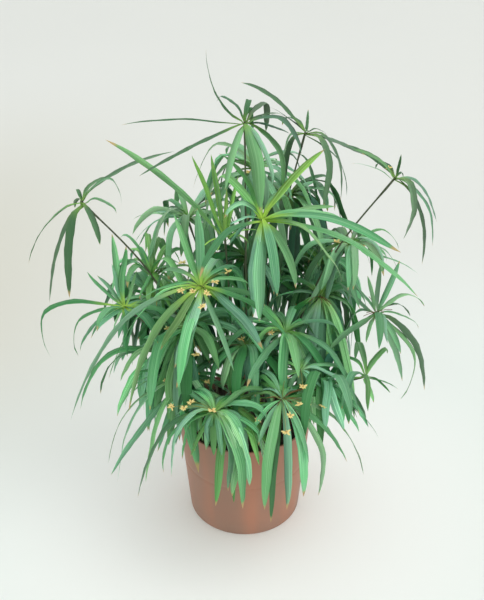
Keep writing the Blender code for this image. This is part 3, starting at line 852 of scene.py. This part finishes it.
def leaf_material(settings):
    """Leathery sedge leaf: parallel veins, pale streaks that are partly a painted highlight, a pale midrib, a
    greyer underside and a dry tip.

    Each leaf is scaled by its shade, which differs at random and is lower for crowns inside the plant as
    painted shade. Leaves of low shade are also painted a deeper green, greyed ones turn olive, and glow is a
    yellow-green root. One half of each blade is painted lighter and the other darker, as if the light fell
    from one side.
    """
    paint = Shader(
        "sedge_leaf", settings.deep, Subsurface_Weight=0.2, Subsurface_Scale=0.6 * MM,
        Specular_IOR_Level=0.25,
    )
    paint.surface.inputs["Subsurface Radius"].default_value = (0.5, 1.0, 0.25)
    names = ("along", "side", "tone", "dry", "top", "phase", "shade", "grey", "glow")
    along, side, tone, dry, top, phase, shade, grey, glow = [paint.attribute(name) for name in names]
    patches = paint.noise(24.0)
    streaks = paint.noise(1.0, detail=3.0, vector=paint.xyz(side * 9.0, along * 1.1, phase * 90.0))
    deep = tuple(settings.deep)
    blue = tinted(deep, 1.8, 1.03, 1.75)
    colour = paint.mix((patches * 0.6 + phase * 0.6).rising(0.35, 0.85), deep, blue)
    colour = paint.mix((tone + (patches - 0.5) * 0.25).rising(0.1, 1.0), colour, tuple(settings.young))
    # Pale streaks along the blade: partly the leaf's own streaks, partly a painted highlight.
    pale = paint.mix(0.40, paint.scaled(colour, 1.6), tuple(settings.streak_and_painted_highlight))
    colour = paint.mix(streaks.rising(0.46, 0.68) * 0.8, colour, pale)
    colour = paint.mix((1 - streaks.rising(0.25, 0.5)) * 0.6, colour, paint.scaled(colour, 0.45))
    veins = (side * 26.0).sine() * 0.5 + 0.5
    colour = paint.mix(veins * 0.18, colour, tinted(deep, 0.35))
    midrib = 1 - abs(side).rising(0.02, 0.12)
    colour = paint.mix(midrib * 0.25, colour, pale)
    under = (0 - top).rising(-0.1, 0.1)
    colour = paint.mix(under * 0.35, colour, LEAF_UNDERSIDE)
    # Painted shade: leaves of low brightness turn a deeper green.
    painted_shade = (1 - shade).at_least(0.0) * 1.6
    shady = paint.mix(phase.rising(0.6, 0.95), SHADY_LEAF, SHADY_BLUE_LEAF)
    colour = paint.mix(painted_shade.at_most(0.85), colour, shady)
    colour = paint.mix(grey, colour, GREYED_LEAF)
    # Painted light and shade: each blade is scaled by its shade, and one half is made lighter and the other
    # darker, as if the light fell from one side.
    colour = paint.scaled(colour, shade * (1 + side * (phase - 0.5) * 0.8))
    near_root = (1 - along.rising(0.02, 0.28)) * glow
    colour = paint.mix(near_root, colour, LEAF_ROOT)
    tip = (along + dry * 0.10 + (patches - 0.5) * 0.05).rising(0.985, 1.03)
    colour = paint.mix(tip, colour, tuple(settings.dry))
    rough = 0.36 + under * 0.14 + patches * 0.12 + tip * 0.3
    normal = paint.bump(veins * 0.5 + streaks * 0.8 + midrib * 1.0, strength=0.4, distance=0.25 * MM)
    return paint.wire(Base_Color=colour, Roughness=rough, Normal=normal)


def stem_material(settings):
    """Smooth ribbed stem, browner and paler towards the soil."""
    paint = Shader("sedge_stem", settings.colour)
    height = paint.axis(paint.place(), "Z")
    ribs = paint.noise(900.0, stretch=(1, 1, 0.04))
    base = tuple(settings.colour)
    colour = paint.mix(ribs.rising(0.35, 0.65), tinted(base, 0.55), tinted(base, 1.5))
    colour = paint.mix((1 - height.rising(0.115, 0.16)) * 0.8, colour, STEM_FOOT)
    normal = paint.bump(ribs, strength=0.4, distance=0.3 * MM)
    return paint.wire(Base_Color=colour, Roughness=0.4 + ribs * 0.2, Normal=normal)


def spikelet_material(settings):
    """Pale straw spikelets that turn orange-brown towards their root, on green rays and dry threads."""
    paint = Shader("pale_spikelet", settings.colour)
    along = paint.attribute("along")
    scales = paint.noise(1500.0)
    colour = paint.mix(along.rising(0.1, 0.5), SPIKELET_ROOT, tuple(settings.colour))
    colour = paint.mix(scales.rising(0.5, 0.75) * 0.5, colour, SPIKELET_SCALES)
    stalk = paint.mix(paint.attribute("brown"), tuple(settings.stalk), DRY_THREAD)
    colour = paint.mix(paint.attribute("stalk"), colour, stalk)
    normal = paint.bump(scales, strength=0.5, distance=0.2 * MM)
    return paint.wire(Base_Color=colour, Roughness=0.6 + scales * 0.2, Normal=normal)


def floor_material(settings):
    """Matt pale studio paper, greyer to the back, with painted light that brightens it round the pot and a
    band of painted shade behind at the left.
    """
    paint = Shader("studio_paper", settings.floor)
    fibres = paint.noise(220.0, detail=4.0)
    clouds = paint.noise(1.3)
    depth = paint.axis(paint.place(), "Y")
    sideways = paint.axis(paint.place(), "X")
    length = {"operation": "LENGTH"}
    away = paint.node("ShaderNodeVectorMath", length, {"Vector": paint.place()}, output="Value")
    # Painted light: the floor is brightest round the pot, lightening the plant's shadow.
    colour = paint.mix(away.rising(0.08, 0.42), tuple(settings.painted_light_round_pot), tuple(settings.floor))
    colour = paint.mix((depth - sideways * 0.4).rising(0.0, 0.62), colour, tuple(settings.far))
    # Painted shade: a darker warm band on the backdrop behind the plant at the left.
    left = (0 - sideways).rising(0.05, 0.5) * (1 - (0 - sideways).rising(0.8, 3.0))
    painted_backdrop_shade = left * depth.rising(-0.1, 0.4) * (1 - depth.rising(0.5, 1.6))
    colour = paint.mix(painted_backdrop_shade * 0.8, colour, PAINTED_BACKDROP_SHADE)
    colour = paint.mix(clouds.rising(0.3, 0.75) * 0.3, colour, paint.scaled(colour, 0.95))
    normal = paint.bump(fibres, strength=0.05, distance=0.2 * MM)
    return paint.wire(Base_Color=colour, Roughness=0.85 + fibres * 0.1, Normal=normal)


def leaf_growth():
    """Sweeps a flat oval along each midrib, folds it up from the midrib and ripples its margins."""
    tree = Growth("leaf_blades")
    thickness = tree.input("Thickness")
    fold = tree.input("Fold")
    ripple = tree.input("Ripple")
    curve = tree.node("GeometryNodeMeshToCurve", None, {"Mesh": tree.start})
    across = tree.named("across", "FLOAT_VECTOR")
    curve = tree.node("GeometryNodeSetCurveNormal", {"mode": "FREE"}, {"Curve": curve, "Normal": across})
    along = tree.node("GeometryNodeSplineParameter", output="Factor")
    closing = 1 - ((along - 0.5).at_least(0.0) / 0.5) ** BLUNTNESS
    half = tree.named("half") * along.rising(*OPENING) * (closing * (1 - TIP_SHARE) + TIP_SHARE)
    curve = tree.store(curve, "along", along)
    curve = tree.store(curve, "wide", half)
    tangent = tree.node("GeometryNodeInputTangent")
    raised = tree.vector("NORMALIZE", tree.vector("CROSS_PRODUCT", tangent, across))
    curve = tree.store(curve, "raised", raised, "FLOAT_VECTOR")
    ring = tree.node("GeometryNodeCurvePrimitiveCircle", None, {"Resolution": FACES_ROUND, "Radius": 1.0})
    place = tree.node("GeometryNodeInputPosition")
    ring = tree.store(ring, "side", tree.axis(place, "X"))
    ring = tree.store(ring, "top", tree.axis(place, "Y"))
    flat = tree.xyz(1.0, thickness, 1.0)
    ring = tree.node("GeometryNodeTransform", None, {"Geometry": ring, "Scale": flat})
    values = {"Curve": curve, "Profile Curve": ring, "Scale": tree.named("wide"), "Fill Caps": True}
    blade = tree.node("GeometryNodeCurveToMesh", None, values)
    away = abs(tree.named("side"))
    reach = tree.named("along")
    fold_here = fold * (FOLD_AT_TIP + (1 - reach) * (1 - reach) * FOLD_AT_ROOT)
    rise = away * fold_here - away * away * (fold * FOLD_LOST)
    wave = (reach * WAVE_ALONG + tree.named("phase") * WAVE_APART + tree.named("side") * WAVE_ACROSS).sine()
    rise = rise + wave * away * away * ripple
    lift = tree.scaled(tree.named("raised", "FLOAT_VECTOR"), rise * tree.named("wide"))
    blade = tree.node("GeometryNodeSetPosition", None, {"Geometry": blade, "Offset": lift})
    return tree.finish(blade)


def is_bare(number, heading):
    start, end = BARE.get(number, (0, 0))
    return (heading - start) % 360 < (end - start) % 360


def has_room(point):
    """Whether a point lies within the frame's box and a few millimetres clear of the pot."""
    if point.z < POT_TOP.z + ROOM and point.xy.length < POT_TOP.x + ROOM:
        return False
    low, high = CAD_BOX
    return all(low[axis] + ROOM < point[axis] < high[axis] - ROOM for axis in range(3))


def between(crown, left, right, share, rng):
    """A leaf whose shape and heading lie between those of two neighbours, some with a kink."""
    turn = (right.heading() - left.heading()) % 360 or 360
    heading = math.radians(left.heading() + turn * share)
    ahead = Vector((math.cos(heading), math.sin(heading), 0))
    side = Vector((-math.sin(heading), math.cos(heading), 0))
    size = rng.uniform(*SIZE_RANGE)
    droop = rng.uniform(DROOP_RANGE[0], DROOP_RANGE[1] + HANG_OF_CROWN.get(crown.number, HANG))
    rise = rng.gauss(0, RISE)
    kink = rng.uniform(*KINK_RANGE) if rng.random() < KINKED else NO_KINK
    sideways = rng.uniform(-KINK_SIDEWAYS, KINK_SIDEWAYS)
    swing = rng.gauss(0, SWING)
    line = []
    for index, (a, b) in enumerate(zip(left.line, right.line)):
        reach = index / (SECTIONS - 1)
        a, b = a - crown.hub, b - crown.hub
        out = a.xy.length * (1 - share) + b.xy.length * share
        up = a.z * (1 - share) + b.z * share + (rise - droop * reach) * out
        past = max(0.0, reach - kink) * out
        bent = ahead * (out - KINK_BACK * past) + side * (sideways * past + swing * reach * out)
        bent.z = up - KINK_DOWN * past
        line.append(crown.hub + bent * size)
    tilt = rng.gauss(0, TWIST)
    across = []
    for index in range(SECTIONS):
        along = line[min(index + 1, SECTIONS - 1)] - line[max(index - 1, 0)]
        turned = Matrix.Rotation(tilt * (index / SECTIONS), 3, along.normalized())
        across.append((turned @ side).normalized())
    half = (left.half * (1 - share) + right.half * share) * rng.uniform(*WIDTH_RANGE)
    return Blade(line, across, min(half, length(line) / SLIMMEST_ADDED), DRIFT_ADDED)


def length(line):
    return sum((end - start).length for start, end in zip(line, line[1:]))


def filled(crown, rng):
    """The crown's leaves, with more between neighbours where the gap is widest."""
    blades = list(crown.blades)
    for _ in range(TRIES):
        if len(blades) >= LEAVES_OF_CROWN.get(crown.number, LEAVES):
            break
        blades.sort(key=Blade.heading)
        pairs = list(zip(blades, blades[1:] + blades[:1]))
        gaps = [(right.heading() - left.heading()) % 360 * rng.uniform(*GAP_RANGE) for left, right in pairs]
        left, right = pairs[gaps.index(max(gaps))]
        made = between(crown, left, right, rng.uniform(*PLACE_RANGE), rng)
        if not is_bare(crown.number, made.heading()) and all(has_room(point) for point in made.line):
            blades.append(made)
    return blades


def look_of(crown, blade, rng):
    """A leaf's share of yellow-green and its brightness: about its crown's, unless the leaf stands out."""
    usual = TONE_OF_CROWN.get(crown.number, TONE)
    tone = min(1.0, usual + TONE_ABOVE, max(0.0, rng.gauss(usual, TONE_SPREAD)))
    shade = min(BRIGHTEST, SHADE_OF_CROWN.get(crown.number, SHADE) * 2 ** rng.gauss(0, SHADE_SPREAD))
    for number, heading, own_tone, own_shade in LOOKS:
        off = abs((blade.heading() - heading + 180) % 360 - 180)
        if number == crown.number and off < SAME_LEAF:
            return own_tone, own_shade
    return tone, shade


def spine_mesh(name, blades, crown, rng):
    """Every midrib of a crown as a line of edges, with what the blades need stored on its corners."""
    points, edges, across = [], [], []
    fields = {}
    glow = GLOW_OF_CROWN.get(crown.number, GLOW)
    grey = GREY_OF_CROWN.get(crown.number, GREY)
    for blade in blades:
        tone, shade = look_of(crown, blade, rng)
        values = {
            "half": blade.half, "tone": tone, "dry": max(0.0, rng.gauss(*DRYNESS)), "phase": rng.random(),
            "shade": shade, "glow": glow, "grey": max(0.0, grey + rng.gauss(0, GREY_SPREAD)),
        }
        first = len(points)
        for index, point in enumerate(blade.line):
            reach = index / (SECTIONS - 1)
            seen_at = point * DRIFT_WAVES + Vector((values["phase"] * DRIFT_APART, 0, 0))
            points.append(point + noise.noise_vector(seen_at) * (blade.drift * reach * (1 - reach)))
        edges += [(first + i, first + i + 1) for i in range(SECTIONS - 1)]
        across += blade.across
        for key, value in values.items():
            fields.setdefault(key, []).extend([value] * SECTIONS)
    return line_mesh(name, points, edges, fields, {"across": across})


class PAPYRUS_OT_leaf_crowns(bpy.types.Operator):
    """Makes the leaves of every crown from the leaves of its frame node, with more between them"""

    bl_idname = "papyrus.leaf_crowns"
    bl_label = "Leaf crowns"

    def execute(self, context):
        settings = context.scene.papyrus_leaves
        material = leaf_material(settings)
        tree = leaf_growth()
        noise.seed_set(SEED)
        for crown in CROWNS:
            rng = random.Random(SEED + crown.number)
            wider = settings.fullness * WIDTH_OF_CROWN.get(crown.number, 1.0)
            blades = [
                blade._replace(half=min(blade.half * wider, length(blade.line) / SLIMMEST_SET))
                for blade in filled(crown, rng)
            ]
            name = f"leaf_whorl_{crown.number:02d}"
            piece = new_piece(name, spine_mesh(name, blades, crown, rng))
            tree.grow(
                piece, thickness=settings.thickness, fold=settings.fold, ripple=settings.ripple,
                material=material,
            )
            settle(piece, frame_slot(crown.node), crown.node)
        return {"FINISHED"}


def frame_slot(node):
    """The record's material slot of a node."""
    return next(part["material_slot"] for part in frame["record"]["subparts"] if part["node"] == node)


class PAPYRUS_OT_stems(bpy.types.Operator):
    """Makes the three-angled stems and the short swelling under each crown"""

    bl_idname = "papyrus.stems"
    bl_label = "Stems"

    def execute(self, context):
        material = stem_material(context.scene.papyrus_stems)
        tree = stem_growth()
        for crown in CROWNS:
            name = f"stem_stalk_{crown.number:02d}"
            middles = [middle for middle, radius in crown.stem_rings]
            line = smooth_line([*middles, crown.hub + crown.lean * STEM_REACH], STEM_POINTS)
            low, high = crown.stem_rings[0][1], crown.stem_rings[-1][1]
            radii = [low + (high - low) * i / (STEM_POINTS - 1) for i in range(STEM_POINTS - 2)]
            radii += [radii[-1] * swelling for swelling in SWELLING]
            edges = [(i, i + 1) for i in range(STEM_POINTS - 1)]
            piece = new_piece(name, line_mesh(name, line, edges, {"thick": radii}, {}))
            tree.grow(piece, angularity=STEM_CORNERS, material=material)
            settle(piece, frame_slot(crown.stem), crown.stem)
        return {"FINISHED"}


def stem_growth():
    """Sweeps a rounded triangle up each stem."""
    tree = Growth("stem_stalks")
    angularity = tree.input("Angularity")
    curve = tree.node("GeometryNodeMeshToCurve", None, {"Mesh": tree.start})
    size = {"Resolution": FACES_ROUND, "Radius": STEM_FULLNESS}
    ring = tree.node("GeometryNodeCurvePrimitiveCircle", None, size)
    turn = tree.node("GeometryNodeInputIndex") * (2 * math.pi / FACES_ROUND)
    bulge = (turn * 3.0 + math.pi / 2).sine() * angularity
    place = tree.node("GeometryNodeInputPosition")
    ring = tree.node("GeometryNodeSetPosition", None, {"Geometry": ring, "Offset": tree.scaled(place, bulge)})
    values = {"Curve": curve, "Profile Curve": ring, "Scale": tree.named("thick"), "Fill Caps": True}
    return tree.finish(tree.node("GeometryNodeCurveToMesh", None, values))


def flower_growth():
    """Thin rays, and on their ends pointed spikelets that face the way their corners say."""
    tree = Growth("flower_clusters")
    length = tree.input("Length")
    is_end = tree.named("spikelet") > 0.5
    ray = tree.node("GeometryNodeMeshToCurve", None, {"Mesh": tree.start})
    size = {"Resolution": RAY_FACES, "Radius": RAY_RADIUS}
    ring = tree.node("GeometryNodeCurvePrimitiveCircle", None, size)
    values = {"Curve": ray, "Profile Curve": ring, "Fill Caps": True}
    rays = tree.node("GeometryNodeCurveToMesh", None, values)
    rays = tree.store(rays, "stalk", 1.0)
    seed = tree.node("GeometryNodeMeshIcoSphere", None, {"Radius": 1.0, "Subdivisions": 1})
    height = tree.axis(tree.node("GeometryNodeInputPosition"), "Z")
    seed = tree.store(seed, "along", height * 0.5 + 0.5)
    slim = (SPIKELET_HALF_WIDTH, SPIKELET_HALF_WIDTH, SPIKELET_HALF_LENGTH)
    placed = {"Geometry": seed, "Translation": (0, 0, SPIKELET_MIDDLE), "Scale": slim}
    seed = tree.node("GeometryNodeTransform", None, placed)
    aim = {"Vector": tree.named("aim", "FLOAT_VECTOR")}
    turn = tree.node("FunctionNodeAlignRotationToVector", {"axis": "Z"}, aim)
    size = tree.named("size") * length
    values = {
        "Points": tree.start, "Selection": is_end, "Instance": seed, "Rotation": turn,
        "Scale": tree.xyz(size, size, size),
    }
    spikelets = tree.node("GeometryNodeInstanceOnPoints", None, values)
    return tree.finish(tree.joined(rays, spikelets))


def flower_mesh(name, crown, spikelets, rng):
    """Bowed rays from the crown, and loose corners with an aim and a size for the spikelets on their ends.

    Dry threads are rays without spikelets.
    """
    points, edges, aims = [], [], []
    fields = {"size": [], "spikelet": [], "brown": []}

    def add(point, aim, **values):
        points.append(point)
        aims.append(aim)
        for key, value in values.items():
            fields[key].append(value)

    flowers = [(*spot, 0.0) for spot in FLOWERS.get(crown.number, ())]
    threads = [
        (rng.uniform(0, 360), rng.uniform(*THREAD_REACH), rng.uniform(*THREAD_HEIGHT), 1.0)
        for _ in range(THREADS.get(crown.number, 0))
    ]
    for heading, out, up, brown in flowers + threads:
        angle = math.radians(heading)
        ahead = Vector((math.cos(angle), math.sin(angle), 0))
        end = crown.hub + ahead * out * MM + Vector((0, 0, up * MM))
        bow = crown.hub + ahead * out * BOW_OUT * MM + Vector((0, 0, (up * BOW_UP + out * BOW_LIFT) * MM))
        edges += [(len(points) + i, len(points) + i + 1) for i in range(RAY_POINTS - 1)]
        for step in range(RAY_POINTS):
            t = step / (RAY_POINTS - 1)
            point = crown.hub * (1 - t) ** 2 + bow * 2 * t * (1 - t) + end * t * t
            add(point, ahead, size=0.0, spikelet=0.0, brown=brown)
        for index in range(0 if brown else spikelets):
            spin = 2 * math.pi * index / spikelets + rng.uniform(-SPIKELET_UNEVEN, SPIKELET_UNEVEN)
            rise = rng.uniform(*SPIKELET_RISE)
            aim = Vector((math.cos(spin), math.sin(spin), rise)) + ahead * SPIKELET_LEAN
            add(end, aim.normalized(), size=rng.uniform(*SPIKELET_SIZES), spikelet=1.0, brown=0.0)
    return line_mesh(name, points, edges, fields, {"aim": aims})


class PAPYRUS_OT_flowers(bpy.types.Operator):
    """Makes the small star-shaped flower clusters on their thin rays"""

    bl_idname = "papyrus.flowers"
    bl_label = "Flowers"

    def execute(self, context):
        settings = context.scene.papyrus_flowers
        material = spikelet_material(settings)
        tree = flower_growth()
        for number in sorted({*FLOWERS, *THREADS}):
            rng = random.Random(SEED * number)
            name = f"flower_clusters_{number:02d}"
            mesh = flower_mesh(name, CROWNS[number - 1], settings.spikelets, rng)
            piece = new_piece(name, mesh)
            tree.grow(piece, length=settings.length, material=material)
            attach(piece, BODY)
        return {"FINISHED"}


def spun(outline, steps):
    """The surface that a line of radii and heights sweeps in one turn round Z."""
    shape = bmesh.new()
    corners = [shape.verts.new((radius, 0, height)) for radius, height in outline]
    edges = [shape.edges.new(pair) for pair in zip(corners, corners[1:])]
    bmesh.ops.spin(
        shape, geom=corners + edges, cent=(0, 0, 0), axis=(0, 0, 1), angle=2 * math.pi, steps=steps,
        use_merge=True,
    )
    bmesh.ops.remove_doubles(shape, verts=shape.verts, dist=WELD)
    bmesh.ops.recalc_face_normals(shape, faces=shape.faces)
    return shape


def pot_outline(settings):
    """Half section of the pot, as radii and heights from the middle of its inner floor round to the foot's.

    The rim's radius and the height are the frame's, and so is the foot's radius.
    """
    low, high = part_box("pot")
    made = welded("pot")
    foot = max(corner.co.xy.length for corner in made.verts if corner.co.z < low.z + WELD)
    foot = round(foot / MM, 2) * MM
    made.free()
    slope = (high.x - foot - FOOT_DEPTH) / high.z

    def outside(z):
        return foot + FOOT_DEPTH + slope * z

    def inside(z):
        return outside(z) - POT_WALL

    points = [(0.0, POT_FLOOR), (inside(POT_FLOOR) - INNER_ROUNDING, POT_FLOOR)]
    points.append((inside(POT_FLOOR) - INNER_ROUNDING / 4, POT_FLOOR + INNER_ROUNDING / 4))
    points.append((inside(POT_FLOOR + INNER_ROUNDING), POT_FLOOR + INNER_ROUNDING))
    points.append((inside(high.z), high.z - 2 * settings.lip))
    middle = outside(high.z) - POT_WALL / 2
    for step in range(LIP_FACES + 1):
        angle = math.pi * step / LIP_FACES
        up = math.sin(angle) * settings.lip - settings.lip
        points.append((middle - math.cos(angle) * POT_WALL / 2, high.z + up))
    for over, depth in LINE_SECTION:
        z = settings.line_height + over * MM
        points.append((outside(z) - depth * MM, z))
    for step in range(FOOT_FACES + 1):
        angle = math.pi / 2 * step / FOOT_FACES
        z = FOOT_HEIGHT * (1 - math.sin(angle))
        points.append((outside(z) - (1 - math.cos(angle)) * FOOT_DEPTH, z))
    points.append((0.0, 0.0))
    return points


class PAPYRUS_OT_pot(bpy.types.Operator):
    """Turns the pot's wall, lip, moulding line and foot, and cuts its drain holes"""

    bl_idname = "papyrus.pot"
    bl_label = "Pot"

    def execute(self, context):
        settings = context.scene.papyrus_pot
        mesh = to_mesh(spun(pot_outline(settings), settings.steps), "pot_shell")
        piece = new_piece("pot_shell", mesh, plastic_material(settings))
        punch = new_piece("drain_punch", drain_mesh())
        cut = piece.modifiers.new("Drain holes", "BOOLEAN")
        cut.object = punch
        apply_modifiers(piece)
        bpy.data.objects.remove(punch)
        piece.data.shade_smooth()
        piece.data.set_sharp_from_angle(angle=math.radians(SHARP))
        settle(piece, "pot", "pot")
        return {"FINISHED"}


def drain_mesh():
    """Short rods where the drain holes are, through the pot's floor."""
    punch = bmesh.new()
    for index in range(HOLES):
        turn = Matrix.Rotation(2 * math.pi * (index + 0.5) / HOLES, 4, "Z")
        bmesh.ops.create_cone(
            punch, cap_ends=True, segments=24, radius1=HOLE_RADIUS, radius2=HOLE_RADIUS, depth=3 * POT_FLOOR,
            matrix=turn @ Matrix.Translation((HOLE_DISTANCE, 0, POT_FLOOR / 2)),
        )
    return to_mesh(punch, "drain_punch")


def soil_growth():
    """Crumbs strewn over the top of the soil, at random sizes and turns."""
    tree = Growth("soil_crumbs")
    density = tree.input("Density")
    size = tree.input("Size")
    seed = tree.input("Seed", "Int")
    facing = tree.axis(tree.node("GeometryNodeInputNormal"), "Z")
    values = {"Mesh": tree.start, "Selection": facing > 0.5, "Density": density, "Seed": seed}
    spots = tree.node("GeometryNodeDistributePointsOnFaces", None, values)
    crumb = tree.node("GeometryNodeMeshIcoSphere", None, {"Radius": 1.0, "Subdivisions": 1})
    kind = {"data_type": "FLOAT_VECTOR"}
    spin = tree.node("FunctionNodeRandomValue", kind, {"Max": FULL_TURNS, "Seed": seed})
    squash = tree.node("FunctionNodeRandomValue", kind, {"Min": CRUMB_LEAST, "Max": CRUMB_MOST, "Seed": seed})
    values = {"Points": spots, "Instance": crumb, "Rotation": spin, "Scale": tree.scaled(squash, size)}
    crumbs = tree.node("GeometryNodeInstanceOnPoints", None, values)
    return tree.finish(tree.joined(tree.start, crumbs))


class PAPYRUS_OT_soil(bpy.types.Operator):
    """Roughens the top of the soil and strews it with crumbs"""

    bl_idname = "papyrus.soil"
    bl_label = "Soil"

    def execute(self, context):
        settings = context.scene.papyrus_soil
        shape = welded("soil")
        low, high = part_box("soil")
        top = [face for face in shape.faces if face.normal.z > 0.5]
        edges = list({edge for face in top for edge in face.edges})
        bmesh.ops.subdivide_edges(
            shape, edges=edges, cuts=SOIL_CUTS, use_grid_fill=True, smooth=SOIL_ROUNDING,
        )
        bmesh.ops.triangulate(shape, faces=shape.faces)
        for corner in shape.verts:
            if corner.co.z > low.z + SOIL_TOP and corner.co.xy.length < high.x - SOIL_STRIP:
                corner.co.z += LUMP_HEIGHT * noise.fractal(corner.co * LUMPS, *LUMP_ROUGHNESS)
        piece = new_piece("soil_bed", to_mesh(shape, "soil_bed"))
        soil_growth().grow(
            piece, density=settings.crumbs, size=settings.crumb_size, seed=SEED,
            material=soil_material(settings),
        )
        settle(piece, "soil", "soil")
        return {"FINISHED"}


def area_light(name, power, size, place, colour):
    lamp = bpy.data.lights.new(name, "AREA")
    lamp.shape = "DISK"
    lamp.size = size
    lamp.energy = power
    lamp.color = colour
    holder = bpy.data.objects.new(name, lamp)
    holder.location = place
    holder.rotation_euler = (PLANT_MIDDLE - holder.location).to_track_quat("-Z", "Y").to_euler()
    bpy.context.scene.collection.objects.link(holder)


class PAPYRUS_OT_stage(bpy.types.Operator):
    """Sets the pale floor and backdrop, the soft lights and the camera"""

    bl_idname = "papyrus.stage"
    bl_label = "Stage"

    def execute(self, context):
        settings = context.scene.papyrus_stage
        self.make_floor(settings)
        area_light("key_light", settings.key, *KEY_LIGHT)
        area_light("fill_light", settings.fill, *FILL_LIGHT)
        world = bpy.data.worlds.new("studio")
        world.use_nodes = True
        sky = world.node_tree.nodes["Background"]
        sky.inputs["Color"].default_value = (*SKY, 1)
        sky.inputs["Strength"].default_value = settings.sky
        context.scene.world = world
        context.scene.view_settings.view_transform = "Standard"
        self.make_camera(context.scene)
        return {"FINISHED"}

    @staticmethod
    def make_floor(settings):
        """A round sheet, level under the pot, that curves up into a backdrop far away on all sides."""
        outline = [(0.0, 0.0), (FLOOR_RING, 0.0), (FLOOR_RADIUS - LEVEL_STRIP, 0.0)]
        for step in range(CURVE_FACES + 1):
            angle = math.pi / 2 * step / CURVE_FACES
            outline.append((FLOOR_RADIUS + CURVE * math.sin(angle), CURVE * (1 - math.cos(angle))))
        outline.append((FLOOR_RADIUS + CURVE, BACKDROP_TOP))
        shape = spun(outline, FLOOR_FACES)
        for face in shape.faces:
            if face.normal.dot(OVERHEAD - face.calc_center_median()) < 0:
                face.normal_flip()
        mesh = to_mesh(shape, "floor")
        mesh.shade_smooth()
        new_piece("floor", mesh, floor_material(settings))

    @staticmethod
    def make_camera(scene):
        """The photograph's viewpoint, found from the rim and foot of the pot."""
        data = bpy.data.cameras.new("camera")
        data.sensor_width = SENSOR
        data.lens = FOCAL_LENGTH / PHOTO_HEIGHT * SENSOR
        data.shift_x, data.shift_y = (shift / PHOTO_HEIGHT for shift in SHIFT)
        camera = bpy.data.objects.new("camera", data)
        camera.location = CAMERA_PLACE
        camera.rotation_euler = (math.radians(90 - LOOKS_DOWN), 0, 0)
        scene.collection.objects.link(camera)
        scene.camera = camera


SETTINGS = {
    "papyrus_pot": PotSettings,
    "papyrus_soil": SoilSettings,
    "papyrus_stems": StemSettings,
    "papyrus_leaves": LeafSettings,
    "papyrus_flowers": FlowerSettings,
    "papyrus_stage": StageSettings,
}
OPERATORS = (
    PAPYRUS_OT_pot,
    PAPYRUS_OT_soil,
    PAPYRUS_OT_stems,
    PAPYRUS_OT_leaf_crowns,
    PAPYRUS_OT_flowers,
    PAPYRUS_OT_stage,
)


class PAPYRUS_PT_sidebar(bpy.types.Panel):
    """Lists the pieces with their settings"""

    bl_label = "Papyrus"
    bl_space_type = "VIEW_3D"
    bl_region_type = "UI"
    bl_category = "Papyrus"

    def draw(self, context):
        for (name, group), operator in zip(SETTINGS.items(), OPERATORS):
            box = self.layout.box()
            box.operator(operator.bl_idname)
            for setting in group.__annotations__:
                box.prop(getattr(context.scene, name), setting)


def register():
    for group in SETTINGS.values():
        bpy.utils.register_class(group)
    for operator in OPERATORS:
        bpy.utils.register_class(operator)
    bpy.utils.register_class(PAPYRUS_PT_sidebar)
    for name, group in SETTINGS.items():
        setattr(bpy.types.Scene, name, PointerProperty(type=group))


def unregister():
    for name in SETTINGS:
        delattr(bpy.types.Scene, name)
    for made in (PAPYRUS_PT_sidebar, *OPERATORS, *SETTINGS.values()):
        bpy.utils.unregister_class(made)


def main():
    register()
    for operator in OPERATORS:
        group, name = operator.bl_idname.split(".")
        getattr(getattr(bpy.ops, group), name)()


if __name__ == "__main__":
    main()
